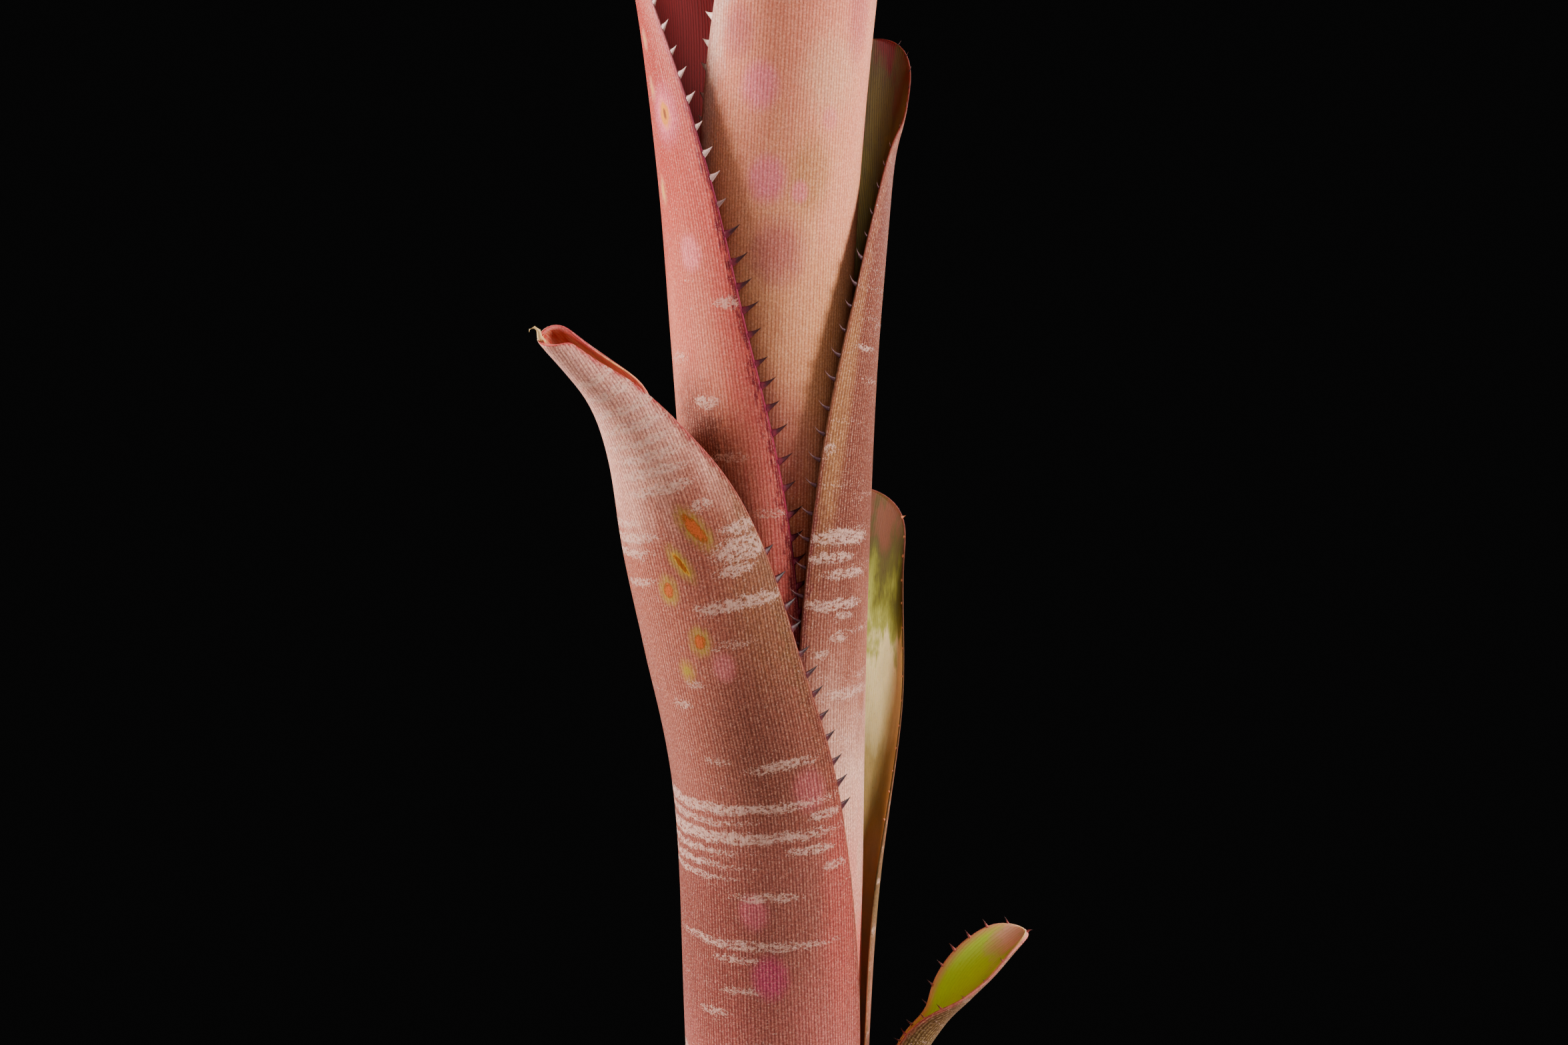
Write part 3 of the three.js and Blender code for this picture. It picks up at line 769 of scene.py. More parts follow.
def outer_skin(leaf, body, margin, vein, haze, bands=(), blushes=(), marks=(), tints_and_painted_shade=()):
    """The outer face: body colours along the leaf with a coloured margin, dark ribs with rows of pale beads
    between them, and a haze of white scurf. Bands of scurf, tinted ovals, round blushes and torn marks each
    lie at their own run and side. Some tinted ovals are the leaf's own colours, others painted shade or
    shadow."""
    skin = Paint(f"{leaf.name}_outer", roughness=0.6, specular=0.09)
    glow_through(skin)
    run, side = skin.attribute("run"), skin.attribute("side")
    width = skin.math("ABSOLUTE", skin.attribute("across"))
    flat = skin.join(side, run)
    share = skin.math("DIVIDE", run, leaf.length)
    cloud = skin.noise(skin.stretched(flat, (0.10, 0.035, 1)), 1, detail=4, roughness=0.6)
    mottle = skin.noise(skin.stretched(flat, (1.3, 0.45, 1)), 1, detail=4, roughness=0.65)
    speckle = skin.noise(skin.stretched(flat, (5.5, 3.2, 1)), 1, detail=3, roughness=0.7)
    shifted = skin.math("ADD", share, skin.grade(cloud, 0.3, 0.7, -0.03, 0.03))
    colour = skin.ramp(shifted, body)
    edge = skin.grade(skin.math("ADD", width, skin.grade(mottle, 0.3, 0.7, -0.05, 0.05)), *margin["from"])
    colour = skin.mix(skin.math("MULTIPLY", edge, margin.get("strength", 0.9)), colour,
                      skin.ramp(share, margin["colours"]))
    line = skin.grade(skin.math("ADD", width, skin.grade(mottle, 0.3, 0.7, -0.045, 0.045)), 0.93, 0.99)
    colour = skin.mix(skin.math("MULTIPLY", line, 0.85), colour, skin.ramp(share, margin["line"]))
    # Tinted ovals: some are the leaf's own colour patches, others painted shade on a limb turned from the
    # lamps, or a painted shadow cast by another leaf.
    for place_run, place_side, half_run, half_side, tint, strength in tints_and_painted_shade:
        here = skin.spot(flat, (place_side, place_run, 0), (half_side * 1.3, half_run * 1.3, 1))
        here = skin.math("MULTIPLY", here, skin.grade(mottle, 0.3, 0.7, 0.75, 1.25))
        colour = skin.mix(skin.grade(here, 0.0, 0.7, 0, strength), colour, tint)
    for place_run, place_side, radius, tint, strength in blushes:
        here = skin.spot(flat, (place_side, place_run, 0), (radius * 1.3, radius * 1.6, 1))
        here = skin.math("MULTIPLY", here, skin.grade(mottle, 0.3, 0.7, 0.8, 1.2))
        colour = skin.mix(skin.grade(here, 0.0, 0.6, 0, strength), colour, tint)

    wave = vein_wave(skin, side, flat)
    dashes = skin.noise(skin.stretched(flat, (1.8, 3.4, 1)), 1, detail=1)
    patchy = skin.grade(mottle, 0.3, 0.65, 0.45, 1.0)
    ribs = skin.math("MULTIPLY", skin.grade(wave, -0.2, 0.9), skin.grade(dashes, 0.62, 0.38, 0.45, 1.0))
    beads = skin.math("MULTIPLY", skin.grade(wave, -0.25, -0.9), skin.grade(dashes, 0.42, 0.62))
    beads = skin.math("MULTIPLY", beads, patchy)
    dark_specks = skin.grade(speckle, 0.40, 0.28)
    colour = skin.mix(skin.math("MULTIPLY", ribs, vein["strength"]), colour, vein["colour"], "MULTIPLY")
    colour = skin.mix(skin.math("MULTIPLY", beads, vein["beads"]), colour, vein["pale"])
    colour = skin.mix(skin.math("MULTIPLY", dark_specks, 0.8), colour, vein["colour"], "MULTIPLY")
    net = skin.grade(skin.cells(skin.stretched(flat, (2.9, 2.4, 1)), 1, randomness=0.9), 0.3, 0.6)
    colour = skin.mix(skin.math("MULTIPLY", net, vein["strength"] * 0.7), colour, vein["colour"], "MULTIPLY")

    # Scurf: the wanted cover at each place, then a flake in each cell whose own draw is under it.
    drift = skin.noise(skin.stretched(flat, (0.30, 0.22, 1)), 1, detail=2)
    waved = skin.join(side, skin.math("ADD", run, skin.grade(drift, 0.2, 0.8, -0.35, 0.35)))
    streak = skin.noise(skin.stretched(waved, (0.9, 1.7, 1)), 1, detail=4, roughness=0.75)
    cover = skin.math("MULTIPLY", skin.grade(skin.noise(skin.stretched(waved, (0.05, 0.5, 1)), 1, detail=4),
                                             haze["from"], haze["from"] + 0.2), haze["strength"])
    for place_run, side_from, side_to, half_run, strength in bands:
        middle, reach = (side_from + side_to) / 2, (side_to - side_from) / 2
        here = skin.spot(waved, (middle, place_run, 0), (reach * 1.2, half_run * 1.55, 1))
        cover = skin.math("MAXIMUM", cover, skin.grade(here, 0.0, 0.62, 0, strength))
    cover = skin.math("MULTIPLY", cover, skin.grade(streak, 0.38, 0.58, 0.1, 1.15))
    flake = skin.node("ShaderNodeTexVoronoi", {
        "Vector": skin.stretched(flat, (4.6, 6.4, 1)), "Scale": 1.0, "Randomness": 1.0})
    own_draw = skin.node("ShaderNodeSeparateColor", {0: flake.outputs["Color"]}).outputs["Red"]
    flakes = skin.grade(skin.math("SUBTRACT", cover, own_draw), -0.12, 0.16)
    flakes = skin.math("MULTIPLY", flakes, skin.grade(flake.outputs["Distance"], 0.8, 0.3, 0.45, 1.0))
    flakes = skin.math("MAXIMUM", flakes, skin.grade(cover, 0.2, 1.0, 0, 0.75))
    colour = skin.mix(skin.math("MULTIPLY", flakes, 0.62), colour, PALE_SCURF)

    torn = skin.math(
        "MULTIPLY", skin.grade(speckle, 0.3, 0.7, 0.5, 1.5), skin.grade(mottle, 0.3, 0.7, 0.5, 1.5))
    pitted = skin.grade(speckle, 0.55, 0.35)
    for place_run, place_side, half_run, half_side, tilt, core, rim, halo in marks:
        wide = skin.spot(
            flat, (place_side, place_run, 0), (half_side * 1.4 + 1.3, half_run * 1.5 + 1.6, 1), tilt)
        spot = skin.spot(flat, (place_side, place_run, 0), (half_side * 1.3, half_run * 1.3, 1), tilt)
        spot = skin.math("MULTIPLY", spot, torn)
        colour = skin.mix(skin.grade(skin.math("MULTIPLY", wide, torn), 0.0, 0.8, 0, 0.8), colour, halo)
        colour = skin.mix(skin.grade(spot, 0.12, 0.24), colour, rim)
        colour = skin.mix(skin.grade(spot, 0.28, 0.42), colour, core)
        sunk = skin.math("MULTIPLY", skin.grade(spot, 0.15, 0.3, 0, 0.5), pitted)
        colour = skin.mix(sunk, colour, rim, "MULTIPLY")

    skin.feed(skin.shader["Base Color"], colour)
    relief = skin.math("ADD", skin.math("MULTIPLY", ribs, -0.5), skin.math("MULTIPLY", flakes, 0.8))
    relief = skin.math("ADD", relief, skin.math("MULTIPLY", speckle, 0.5))
    skin.bump(relief, 0.00006)
    return skin.material


def inner_skin(leaf, body, vein_colour, near_margin=None, ribs=0.4):
    """The inner face: smoother and darker than the outer one, with faint ribs and fine freckles."""
    skin = Paint(f"{leaf.name}_inner", roughness=0.6, specular=0.08)
    glow_through(skin)
    run, side = skin.attribute("run"), skin.attribute("side")
    flat = skin.join(side, run)
    share = skin.math("DIVIDE", run, leaf.length)
    cloud = skin.noise(skin.stretched(flat, (0.16, 0.07, 1)), 1, detail=4, roughness=0.6)
    freckle = skin.noise(skin.stretched(flat, (3.6, 1.4, 1)), 1, detail=3, roughness=0.7)
    colour = skin.ramp(skin.math("ADD", share, skin.grade(cloud, 0.3, 0.7, -0.04, 0.04)), body)
    if near_margin:
        width = skin.math("ABSOLUTE", skin.attribute("across"))
        colour = skin.mix(skin.grade(width, 0.72, 1.0, 0, 0.9), colour, near_margin)
    lines = skin.grade(vein_wave(skin, side, flat), -0.1, 1.0)
    colour = skin.mix(skin.math("MULTIPLY", lines, ribs), colour, vein_colour, "MULTIPLY")
    colour = skin.mix(skin.grade(freckle, 0.56, 0.72, 0, 0.5), colour, vein_colour, "MULTIPLY")
    skin.feed(skin.shader["Base Color"], colour)
    skin.bump(skin.math("ADD", skin.math("MULTIPLY", lines, -0.6), freckle), 0.00004)
    return skin.material


def edge_skin(leaf, stops):
    """The thin rim between the faces, with small blotches."""
    skin = Paint(f"{leaf.name}_edge", roughness=0.6, specular=0.1)
    run = skin.attribute("run")
    blotch = skin.noise(skin.join(skin.attribute("side"), run), 1.1, detail=3)
    colour = skin.ramp(skin.math("DIVIDE", run, leaf.length), stops)
    colour = skin.mix(skin.grade(blotch, 0.45, 0.7, 0, 0.45), colour, (120, 60, 50), "MULTIPLY")
    skin.feed(skin.shader["Base Color"], colour)
    skin.bump(blotch, 0.00005)
    return skin.material


def horn_skin(leaf, root, middle, tip, pale_from=None, pale=None):
    """The hard spines: coloured like the margin at the root, dark or pale and glossier at the tip. Those
    from the run pale_from on turn pale."""
    skin = Paint(f"{leaf.name}_horn", roughness=0.5, specular=0.3)
    tooth = skin.attribute("tooth")
    grain = skin.noise(skin.place(), 2600, detail=2)
    shifted = skin.math("ADD", tooth, skin.grade(grain, 0.3, 0.7, -0.08, 0.08))
    colour = skin.ramp(shifted, [(0.12, root), (0.42, middle), (0.85, tip)])
    if pale_from:
        colour = skin.mix(skin.grade(skin.attribute("run"), pale_from, pale_from + 12), colour, pale)
    skin.feed(skin.shader["Base Color"], colour)
    skin.bump(grain, 0.00004)
    return skin.material


GREEN_SHEATH = (150, 150, 88)

heart = LeafForm(
    "heart", 8,
    [
        (73.72, 4.3, 4.3, 9, 60), (110, 5.6, 5.6, 12, 60), (170, 7.2, 7.2, 15, 60), (215, 7.4, 7.4, 13, 60),
        (238, 7.6, 7.4, 9, 60)])
grow(
    "heart_leaf", heart, 14,
    (
        outer_skin(
            heart,
            body=[(0.0, (206, 200, 150)), (0.5, (184, 176, 96)), (1.0, (200, 150, 104))],
            margin={
                "from": (0.86, 1.02),
                "colours": [(0.0, (206, 200, 150)), (1.0, (205, 120, 110))],
                "line": [(0.3, (200, 180, 130)), (1.0, (196, 80, 86))]},
            vein={"colour": (150, 110, 80), "strength": 0.5, "beads": 0.34, "pale": (228, 204, 160)},
            haze={"from": 0.56, "strength": 0.3}),
        inner_skin(heart, [(0.0, (190, 186, 110)), (1.0, (150, 130, 70))], (150, 110, 80)),
        edge_skin(heart, [(0.0, (200, 190, 140)), (1.0, (214, 120, 116))]),
        horn_skin(heart, (206, 110, 104), (170, 60, 66), (80, 26, 28))),
    heart.teeth(11, 212, 1.2, 2.0))

# Young leaf
# The second leaf of the tube, wrapped round the heart leaf, its tip deep inside the tall front ones. A stiff
# green and yellow strap like the heart leaf, its base closed round the stock's cone.
young = LeafForm(
    "young", 12,
    [
        (72.44, 5.9, 5.9, 13, -150), (110, 7.4, 7.4, 17, -150), (150, 9.2, 9.2, 21, -150),
        (230, 9.6, 9.5, 21, -150), (275, 10.3, 9.9, 18, -150), (306, 11.3, 10.5, 11, -150)])
grow(
    "young_leaf", young, 20,
    (
        outer_skin(
            young,
            body=[(0.0, (206, 200, 150)), (0.5, (196, 168, 104)), (1.0, (208, 138, 112))],
            margin={
                "from": (0.86, 1.02),
                "colours": [(0.0, (206, 200, 150)), (1.0, (212, 110, 112))],
                "line": [(0.3, (200, 180, 130)), (1.0, (196, 80, 86))]},
            vein={"colour": (150, 96, 76), "strength": 0.55, "beads": 0.34, "pale": (228, 204, 160)},
            haze={"from": 0.54, "strength": 0.35}),
        inner_skin(young, [(0.0, (180, 170, 100)), (1.0, (134, 84, 60))], (140, 96, 76)),
        edge_skin(young, [(0.0, (200, 190, 140)), (1.0, (218, 120, 118))]),
        horn_skin(young, (206, 110, 104), (170, 60, 66), (80, 26, 28))),
    young.teeth(18, 262, 1.2, 2.6))

# Front right leaf
# The tallest leaf, facing the viewer between the two toothed margins beside it. A finely ribbed strap, peach
# with soft pink spots, with a pale left margin and pale spines at its top.
peach = LeafForm(
    "peach", 16,
    [
        (71.19, 7.5, 7.5, 18, 40), (100, 9, 9, 22, 40), (150, 11.1, 11.1, 27, 40),
        (230, 11.4, 11.4, 27.5, 40), (290, 13.3, 13.4, 28.3, 42), (332, 17.6, 15.2, 23, 40),
        (362, 23.5, 18, 14, 35)])
ROSE, PLUM = (255, 146, 156), (190, 96, 112)
grow(
    "front_right_leaf", peach, 26,
    (
        outer_skin(
            peach,
            body=[
                (0.0, GREEN_SHEATH), (0.3, (176, 128, 84)), (0.5, (172, 84, 64)), (0.6, (178, 94, 68)),
                (0.72, (250, 178, 134)), (0.84, (246, 158, 128)), (1.0, (236, 142, 122))],
            margin={
                "from": (0.76, 0.96),
                "colours": [
                    (0.0, GREEN_SHEATH), (0.55, (206, 120, 104)), (0.8, (240, 190, 172)),
                    (1.0, (246, 206, 190))],
                "line": [(0.3, (180, 110, 80)), (0.75, (206, 120, 110)), (1.0, (226, 180, 164))]},
            vein={"colour": (176, 112, 88), "strength": 0.44, "beads": 0.3, "pale": (250, 210, 184)},
            haze={"from": 0.60, "strength": 0.22},
            blushes=[
                (245.6, -13.8, 3.2, ROSE, 1.0), (231, -11.8, 3.2, ROSE, 1.0), (229.2, -6.4, 1.5, ROSE, 0.8),
                (240.9, -1.6, 1.6, ROSE, 0.5), (264, 9.0, 2.4, ROSE, 0.5), (238, 12.5, 2.6, ROSE, 0.6)],
            # The long tan zone down the right side is partly the leaf's own tan, partly painted shade on the
            # right limb.
            tints_and_painted_shade=[
                (250, 13, 70, 5, (196, 122, 86), 0.5), (219.3, -9.6, 6, 5, PLUM, 0.6),
                (248, -1.6, 7, 6, (246, 186, 150), 0.6), (257, 3.6, 8, 3, PLUM, 0.5),
                (253.8, -18, 5, 3, PLUM, 0.5), (232, -4.5, 7, 4, (172, 136, 76), 0.45),
                (188, -10, 12, 9, (176, 92, 92), 0.6), (205, 2, 16, 8, (196, 138, 88), 0.5)]),
        inner_skin(
            peach, [(0.0, (150, 146, 84)), (0.7, (120, 70, 56)), (1.0, (132, 72, 66))], (120, 70, 60)),
        edge_skin(peach, [(0.0, (190, 170, 120)), (0.7, (214, 130, 116)), (1.0, (232, 190, 176))]),
        horn_skin(peach, (240, 196, 180), (240, 206, 190), (214, 180, 166))),
    peach.teeth(25, 246, 1.2, 2.6))

# Left leaf
# A tall salmon-pink strap wrapped round the left of the tube. Its magenta right margin is set with spines
# that lie in front of the peach leaf, dark fins low down and small pale hooks near the tip.


def trimmed(teeth, *shares):
    """A leaf's spines made smaller. Each (run, share) holds from the one before up to its own run."""
    return [(middle, sign, size * next(share for run, share in shares if middle <= run))
            for middle, sign, size in teeth]


salmon = LeafForm(
    "salmon", 16,
    [
        (69.91, 9.1, 9.1, 18, -96), (100, 10.6, 10.6, 21, -96), (150, 12.9, 12.8, 26.3, -94),
        (230, 15.2, 13.5, 27.6, -92), (280, 18.2, 15.3, 23.3, -97), (306, 20.3, 17.6, 21.1, -103),
        (332, 24.1, 19.1, 16.9, -115), (354, 28.6, 20, 12.5, -116)])
grow(
    "left_leaf", salmon, 26,
    (
        outer_skin(
            salmon,
            # The dark stop at 0.46 is partly painted shadow, where the front left leaf shades this leaf low
            # down.
            body=[
                (0.0, GREEN_SHEATH), (0.3, (164, 112, 76)), (0.46, (112, 60, 48)), (0.56, (170, 94, 76)),
                (0.66, (224, 144, 120)), (0.78, (200, 86, 72)), (0.86, (178, 66, 58)), (1.0, (172, 60, 54))],
            margin={
                "from": (0.66, 0.99), "strength": 0.7,
                "colours": [
                    (0.0, GREEN_SHEATH), (0.42, (214, 98, 94)), (0.55, (228, 104, 104)),
                    (0.70, (224, 98, 100)), (0.84, (216, 112, 100)), (1.0, (230, 156, 142))],
                "line": [
                    (0.3, (150, 60, 56)), (0.5, (120, 16, 40)), (0.8, (116, 20, 52)),
                    (0.88, (206, 110, 120)), (1.0, (226, 170, 160))]},
            vein={"colour": (170, 96, 84), "strength": 0.48, "beads": 0.3, "pale": (248, 206, 186)},
            haze={"from": 0.58, "strength": 0.25},
            bands=[
                (211.5, 18, 24, 0.9, 0.9), (195.6, 11.5, 17.5, 0.9, 0.9), (177, 20, 27, 0.8, 0.5),
                (203, 4, 12, 0.7, 0.5), (186.5, 13, 22, 0.8, 0.5), (166, 8, 24, 0.9, 0.7),
                (158, 6, 26, 0.9, 0.8), (147, 4, 26, 0.9, 0.8), (136, 0, 26, 1.0, 0.9)],
            blushes=[(240.8, 14.2, 4.0, (222, 110, 130), 0.7), (219.6, 15, 2.4, ROSE, 0.6)],
            marks=[
                (240.8, 14.2, 1.5, 1.2, 0, (222, 140, 50), (206, 120, 50), (236, 120, 132)),
                (240.7, 14.3, 0.8, 0.5, 12, (140, 76, 40), (190, 110, 50), (222, 140, 50)),
                (229.9, 9.0, 1.2, 0.28, 4, (206, 160, 70), (214, 170, 84), (206, 140, 100)),
                (253.4, 11.6, 0.8, 0.25, 5, (206, 150, 70), (214, 160, 84), (206, 130, 104)),
                (245.4, 11.0, 0.8, 0.25, 5, (206, 150, 70), (214, 160, 84), (206, 130, 104))],
            # The long zone down the middle is painted shade on the limb; the two dark zones are painted
            # shadow cast by the front left leaf.
            tints_and_painted_shade=[
                (235, 0, 90, 6.5, (158, 84, 66), 0.55), (187, 11, 14, 8.5, (84, 42, 36), 0.8),
                (171, 18, 13, 4, (86, 34, 32), 0.6)]),
        inner_skin(
            salmon, [(0.0, (140, 130, 76)), (0.6, (100, 14, 16)), (1.0, (106, 14, 18))], (100, 50, 46)),
        edge_skin(
            salmon,
            [
                (0.0, (190, 150, 110)), (0.5, (140, 34, 60)), (0.82, (130, 34, 66)), (0.9, (220, 130, 134)),
                (1.0, (232, 180, 176))]),
        horn_skin(salmon, (116, 26, 50), (62, 14, 26), (44, 10, 16), pale_from=222, pale=(206, 168, 162))),
    trimmed(salmon.teeth(32, 222, 1.2, 2.6), (222, 1), (math.inf, 0.62)), lean=0.52, hook=1.5)

# Right leaf
# A tan strap wrapped round the right of the tube, beaded and banded with scurf. Its margin's slender dark
# spines hook up and to the left across the peach leaf, and shrink to specks near the tip.
tan = LeafForm(
    "tan", 12,
    [
        (68.62, 10.7, 10.7, 16.5, 100), (100, 12.2, 12.2, 19, 100), (150, 14.7, 14.5, 23, 100),
        (230, 15.8, 14.7, 22.8, 101), (280, 18.2, 16.4, 21, 118), (306, 24, 19.6, 18, 142),
        (327, 29.6, 20.4, 13.5, 150)])
grow(
    "right_leaf", tan, 24,
    (
        outer_skin(
            tan,
            body=[
                (0.0, GREEN_SHEATH), (0.2, (232, 150, 134)), (0.38, (250, 130, 116)),
                (0.49, (250, 196, 174)), (0.58, (172, 108, 90)), (0.66, (130, 72, 58)),
                (0.8, (132, 72, 56)), (0.9, (130, 68, 58)), (1.0, (130, 68, 58))],
            margin={
                "from": (0.84, 1.0),
                "colours": [
                    (0.0, GREEN_SHEATH), (0.4, (214, 116, 110)), (0.55, (160, 90, 76)),
                    (0.72, (150, 104, 66)), (1.0, (176, 104, 84))],
                "line": [(0.3, (160, 80, 70)), (0.5, (130, 56, 62)), (1.0, (140, 70, 62))]},
            vein={"colour": (146, 96, 88), "strength": 0.55, "beads": 0.46, "pale": (238, 194, 170)},
            haze={"from": 0.54, "strength": 0.4},
            bands=[
                (174, -24, -8, 1.2, 1.0), (170.8, -24, -12, 0.8, 0.8), (168, -20, -8, 0.8, 0.8),
                (163, -24, -9, 0.9, 0.9), (161, -17, -12, 0.7, 0.7), (157.6, -18, -13, 0.8, 0.7),
                (155, -21, -17, 0.7, 0.7), (204, -19, -12, 0.5, 0.7), (188, -23, -19, 0.7, 0.6),
                (148, -20, -4, 0.9, 0.7)],
            tints_and_painted_shade=[(194, -19.6, 22, 2.4, (196, 144, 92), 0.5)]),
        inner_skin(
            tan,
            [
                (0.0, (140, 130, 76)), (0.5, (116, 66, 22)), (0.68, (112, 84, 16)), (0.76, (132, 66, 20)),
                (0.8, (124, 96, 18)), (0.88, (100, 84, 26)), (0.95, (84, 66, 34)), (1.0, (96, 26, 26))],
            (110, 84, 50)),
        edge_skin(
            tan,
            [
                (0.0, (190, 150, 110)), (0.5, (120, 56, 54)), (0.75, (124, 76, 52)), (0.9, (110, 50, 40)),
                (1.0, (110, 46, 38))]),
        horn_skin(tan, (52, 14, 24), (60, 20, 32), (120, 84, 84))),
    trimmed(tan.teeth(39, 222, 1.2, 2.6), (206, 0.85), (217, 0.6), (math.inf, 0.34)), slender=0.6,
    lean=0.62, hook=2.2)

# Front left leaf
# The outermost tall leaf, mauve brown and crossed by bands of white scurf. Its end curls up and over to the
# left and rolls into a narrow tube with a hooked point, and torn orange scars dot its middle.
mauve = LeafForm(
    "mauve", 3,
    [
        (67.36, 12.3, 12.3, 24, -50), (100, 13.9, 13.9, 28, -50), (150, 16.2, 16.4, 32.5, -50),
        (195, 17.9, 17.5, 28.8, -52), (223, 24.4, 17.6, 25.3, -50, -2), (245, 29.1, 13, 21.6, -53, 2),
        (259, 32.8, 8, 16.2, -56, -13), (267, 36, 4.5, 12.2, -57, -30), (272.5, 40.3, 3.1, 8.8, -56, -40),
        (277.5, 46, 2.4, 6.2, -54, -32)])
ORANGE, AMBER, YELLOW = (196, 96, 44), (150, 82, 26), (166, 136, 56)
grow(
    "front_left_leaf", mauve, 30,
    (
        outer_skin(
            mauve,
            body=[
                (0.0, GREEN_SHEATH), (0.22, (166, 104, 82)), (0.36, (204, 114, 106)), (0.5, (164, 96, 84)),
                (0.62, (168, 98, 84)), (0.76, (178, 104, 86)), (0.81, (180, 104, 86)),
                (0.87, (236, 172, 152)), (1.0, (240, 180, 166))],
            margin={
                "from": (0.84, 1.0),
                "colours": [
                    (0.0, GREEN_SHEATH), (0.4, (190, 104, 96)), (0.58, (150, 78, 62)), (0.7, (128, 92, 56)),
                    (0.86, (140, 86, 66)), (1.0, (200, 76, 80))],
                "line": [
                    (0.3, (160, 80, 70)), (0.6, (120, 58, 50)), (0.85, (150, 60, 60)), (1.0, (196, 50, 70))]},
            vein={"colour": (140, 92, 98), "strength": 0.58, "beads": 0.44, "pale": (236, 188, 164)},
            haze={"from": 0.58, "strength": 0.3},
            bands=[
                (131, -31, 30, 0.9, 0.95), (128.5, -31, 14, 0.7, 0.8), (128.5, 21, 29, 0.7, 0.7),
                (125.9, -31, 30, 1.0, 1.0), (123.2, -31, 12, 0.7, 0.8), (123.2, 17, 27, 0.7, 0.8),
                (120.8, -31, 12, 0.7, 0.8), (118.6, -21, 10, 0.6, 0.7), (138, 12, 25, 0.8, 0.8),
                (140, 4, 11, 0.6, 0.4), (166, 8, 26, 1.0, 0.95), (174, 13, 25, 1.8, 0.95),
                (171, 13, 21, 0.9, 0.8), (182, 11.5, 16, 0.8, 0.7), (177.3, 15, 24, 0.9, 0.85),
                (181, -15, 4, 0.8, 0.7), (178.5, -15, 7, 0.8, 0.8), (176, -15, 5, 0.8, 0.7),
                (171, -7, 3, 0.8, 0.6), (115.5, 7, 21, 0.8, 0.7), (107, -9, 27, 0.8, 0.7),
                (104.4, 3, 13, 0.7, 0.6), (98.8, 4, 13, 0.7, 0.6), (94.4, -1, 7, 0.7, 0.6),
                (150, 0, 6, 0.6, 0.6), (154, 4, 9, 0.6, 0.5), (160, 9, 19, 0.6, 0.4),
                (120, 23, 29, 0.7, 0.7), (84, -26, 20, 1.2, 0.8), (76, -22, 24, 1.2, 0.8),
                (66, -20, 22, 1.2, 0.7),
                *[(run, 1, 15, 0.8, 0.8) for run in (207, 203.5, 200, 197, 194, 191.5, 189, 186)]],
            blushes=[
                (133, 22.6, 3.0, (206, 110, 116), 0.6), (113, 11.4, 2.6, (206, 104, 116), 0.75),
                (101.4, 13.8, 3.2, (196, 70, 110), 0.8), (156.6, 12.4, 2.0, ROSE, 0.4)],
            marks=[
                (178.8, 11.8, 2.8, 0.9, 28, ORANGE, AMBER, YELLOW),
                (173.8, 8.2, 2.2, 0.45, 28, AMBER, (206, 156, 44), YELLOW),
                (169.7, 5.0, 1.2, 0.9, 0, ORANGE, AMBER, YELLOW),
                (161, 9.0, 1.1, 1.0, 0, ORANGE, AMBER, YELLOW),
                (156.2, 5.6, 0.7, 0.6, 0, YELLOW, YELLOW, (170, 130, 60))],
            # The long dark zone down the left side is painted shade on the limb; the brown zones on the right
            # at run 140 and down the middle at run 104 are partly the leaf's own dark brown, partly painted
            # shade.
            tints_and_painted_shade=[
                (167, 22, 20, 8, (136, 100, 60), 0.5), (110, 27, 22, 4, (206, 96, 88), 0.6),
                (140, 17, 16, 12, (130, 76, 58), 0.5), (130, -18, 90, 14, (112, 60, 54), 0.75),
                (104, 0, 26, 14, (124, 52, 44), 0.6)]),
        # The pale browns at 0.8 to 0.96 are painted light: paler than the leaf's own colour, so the shaded
        # inside of the rolled tip shows lit.
        inner_skin(
            mauve,
            [
                (0.0, (140, 130, 76)), (0.5, (140, 96, 66)), (0.8, (214, 160, 128)),
                (0.96, (206, 146, 116)), (0.995, (176, 60, 50))],
            (150, 90, 76), near_margin=(224, 130, 124), ribs=0.15),
        edge_skin(
            mauve,
            [
                (0.0, (190, 150, 110)), (0.6, (130, 76, 60)), (0.8, (150, 80, 66)), (0.9, (230, 110, 120)),
                (0.95, (246, 176, 110)), (0.97, (226, 100, 104)), (1.0, (206, 84, 84))]),
        horn_skin(mauve, (84, 24, 34), (48, 14, 22), (30, 10, 14), pale_from=190, pale=(226, 190, 130))),
    mauve.teeth(46, 192, 42, 2.5),
    point=[(0, -0.3, 0.5), (0, -0.9, 1.6), (0, -0.6, 2.4), (0, 0.2, 2.4), (0, 0.6, 1.9)],
    point_radius=0.55)
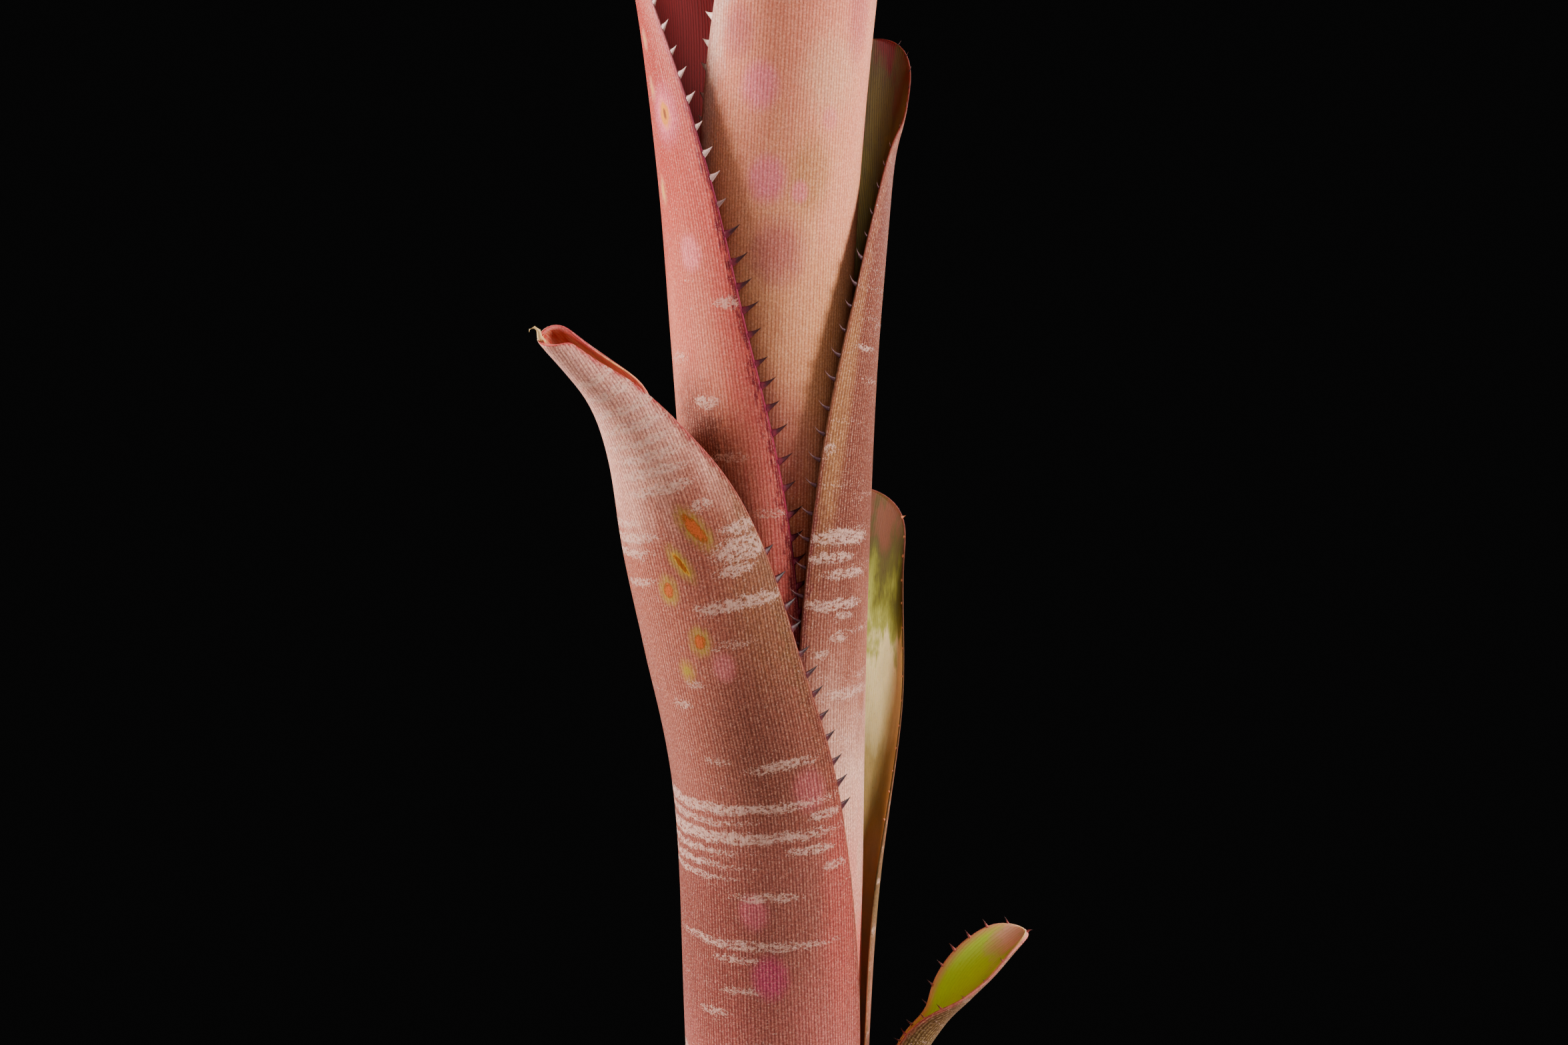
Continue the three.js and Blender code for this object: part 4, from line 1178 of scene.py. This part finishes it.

# Back right leaf
# A shorter strap behind the tube on the right. Its hollow inner face shows from the front, olive at the top
# and pale cream green below, the palest cream band partly its own colour and partly a painted highlight. Its
# base closes round all the tall leaves.
olive = LeafForm(
    "olive", 10,
    [
        (66.1, 13.9, 13.9, 22, 155), (100, 15.5, 15.5, 23.4, 156, -2), (150, 18, 17.9, 25.2, 157, -5),
        (176, 20.9, 18, 25.5, 155, -4), (210, 26.1, 19.2, 22.6, 154), (235, 29.3, 16.5, 17.6, 151.5),
        (247, 31.6, 18, 13.2, 150)])
grow(
    "back_right_leaf", olive, 26,
    (
        outer_skin(
            olive,
            body=[
                (0.0, GREEN_SHEATH), (0.35, (170, 136, 92)), (0.75, (150, 126, 80)), (1.0, (170, 120, 88))],
            margin={
                "from": (0.6, 0.9),
                "colours": [
                    (0.0, GREEN_SHEATH), (0.35, (226, 140, 124)), (0.5, (190, 110, 92)),
                    (0.6, (120, 92, 54)), (1.0, (200, 84, 96))],
                "line": [(0.3, (150, 110, 70)), (0.6, (104, 80, 44)), (1.0, (176, 70, 76))]},
            vein={"colour": (130, 96, 70), "strength": 0.5, "beads": 0.36, "pale": (232, 186, 160)},
            haze={"from": 0.5, "strength": 0.75}),
        # The pale cream band at 0.765 to 0.835 is partly the leaf's own pale colour and partly a painted
        # highlight.
        inner_skin(
            olive,
            [
                (0.5, (196, 176, 140)), (0.6, (206, 178, 126)), (0.66, (190, 164, 104)),
                (0.72, (166, 146, 88)), (0.765, (190, 174, 120)), (0.835, (214, 198, 146)),
                (0.862, (150, 150, 70)), (0.9, (110, 108, 36)), (0.925, (84, 78, 28)),
                (0.955, (78, 64, 28)), (0.985, (104, 60, 40))],
            (170, 140, 90), ribs=0.1),
        edge_skin(
            olive,
            [
                (0.0, (190, 170, 100)), (0.5, (160, 100, 70)), (0.62, (86, 66, 34)), (0.9, (88, 60, 34)),
                (1.0, (130, 62, 54))]),
        horn_skin(olive, (206, 120, 84), (196, 120, 76), (120, 60, 40))),
    trimmed(olive.teeth(53, 186, 1.2, 2.4), (math.inf, 0.62)), slender=0.45)

# Low right leaf
# A low lime-green leaf outside the tube on the right. Its neck narrows to a channel, and its end leans out
# and opens like a spoon, with short thin spines along the rim.
lime = LeafForm(
    "lime", 6,
    [
        (64.81, 15.5, 15.5, 22, 84), (100, 17.1, 17.1, 22, 84), (122, 18.9, 18.2, 17, 84),
        (134, 21.2, 12, 11.5, 84, -2), (143, 24, 5.8, 8.6, 84, -6), (150, 26.5, 4.1, 7.5, 83, -7),
        (155, 29.7, 4.5, 6.6, 84, -1), (158.8, 32.3, 5.5, 7.1, 85.5, 24), (165, 36.7, 6.1, 6.8, 87, 34),
        (172, 44.3, 5.3, 5.1, 86.5, 6)])
grow(
    "low_right_leaf", lime, 22,
    (
        outer_skin(
            lime,
            body=[(0.0, GREEN_SHEATH), (0.5, (136, 120, 64)), (0.75, (124, 96, 54)), (1.0, (170, 122, 90))],
            margin={
                "from": (0.82, 1.0),
                "colours": [(0.0, GREEN_SHEATH), (0.6, (186, 120, 96)), (1.0, (222, 132, 120))],
                "line": [(0.3, (150, 110, 70)), (1.0, (222, 110, 110))]},
            vein={"colour": (140, 90, 64), "strength": 0.6, "beads": 0.44, "pale": (226, 204, 160)},
            haze={"from": 0.52, "strength": 0.6}),
        inner_skin(
            lime,
            [
                (0.0, (150, 160, 70)), (0.7, (196, 240, 62)), (0.93, (200, 230, 74)),
                (0.98, (224, 196, 130)), (1.0, (240, 190, 160))],
            (190, 196, 110), near_margin=(226, 160, 120), ribs=0.08),
        edge_skin(lime, [(0.0, (190, 170, 100)), (0.6, (206, 130, 104)), (1.0, (230, 140, 130))]),
        horn_skin(lime, (190, 96, 84), (110, 36, 36), (56, 20, 18))),
    trimmed(lime.teeth(60, 138, 1.2, 1.8), (math.inf, 0.85)), slender=0.4, lean=0.2,
    point=[(0, 0, 0.2), (0, 0.1, 0.6), (0, 0.4, 1.0)],
    point_radius=0.36)

# Leaves at the foot
# Three short, old leaves outside the tube that arch over the pot's rim, to the left, the front and the back.
# They are dull green straps with brown ends, and their sheaths clasp the foot of the tube.
FOOT_LEAVES = [
    (
        "basal_left_leaf", 67, 106,
        [
            (64.82, 15.5, 15.5, 18, -95), (88, 16.7, 16.7, 17, -95), (104, 19.6, 15, 13.5, -95),
            (114, 24, 10.5, 10.8, -95), (122, 30.5, 9.5, 10, -95), (128, 38.5, 10, 8.8, -94),
            (131, 47.5, 12, 5.5, -93)]),
    (
        "basal_front_leaf", 74, 98,
        [
            (63.51, 17.1, 17.1, 17, -12), (88, 18, 18, 15.2, -12), (99, 20.9, 14.5, 12.3, -12),
            (107, 26.3, 10.5, 10.2, -12), (112, 34, 9.8, 9.4, -13), (113.5, 42, 11, 8, -14),
            (112, 49.5, 13, 5, -15)]),
    (
        "basal_back_leaf", 81, 100,
        [
            (63.5, 17.1, 17.1, 16, 158), (88, 18.1, 18.1, 14.5, 158), (101, 21.3, 13.5, 11.6, 158),
            (109.5, 27.2, 10, 9.8, 158), (114.5, 36, 9.8, 9, 157), (116, 46, 12.5, 5.2, 156)])]
for node, seed, teeth_from, stations in FOOT_LEAVES:
    foot_leaf = LeafForm(node.replace("_leaf", ""), 8, stations)
    grow(
        node, foot_leaf, 18,
        (
            outer_skin(
                foot_leaf,
                body=[
                    (0.0, (150, 120, 80)), (0.35, (142, 140, 76)), (0.75, (156, 140, 80)),
                    (1.0, (182, 122, 84))],
                margin={
                    "from": (0.8, 1.0),
                    "colours": [(0.0, (150, 120, 80)), (0.4, (176, 110, 84)), (1.0, (206, 90, 84))],
                    "line": [(0.3, (150, 100, 70)), (1.0, (200, 70, 74))]},
                vein={"colour": (130, 96, 66), "strength": 0.6, "beads": 0.44, "pale": (226, 204, 160)},
                haze={"from": 0.48, "strength": 0.8}),
            inner_skin(
                foot_leaf,
                [
                    (0.0, (150, 160, 70)), (0.6, (134, 146, 58)), (0.85, (150, 140, 66)),
                    (1.0, (190, 110, 76))],
                (120, 116, 60), near_margin=(176, 96, 80)),
            edge_skin(foot_leaf, [(0.0, (190, 160, 100)), (1.0, (216, 100, 92))]),
            horn_skin(foot_leaf, (206, 90, 84), (150, 50, 50), (60, 22, 20))),
        foot_leaf.teeth(seed, teeth_from, 1.2, 1.6))

bpy.data.objects.remove(spine_kind)
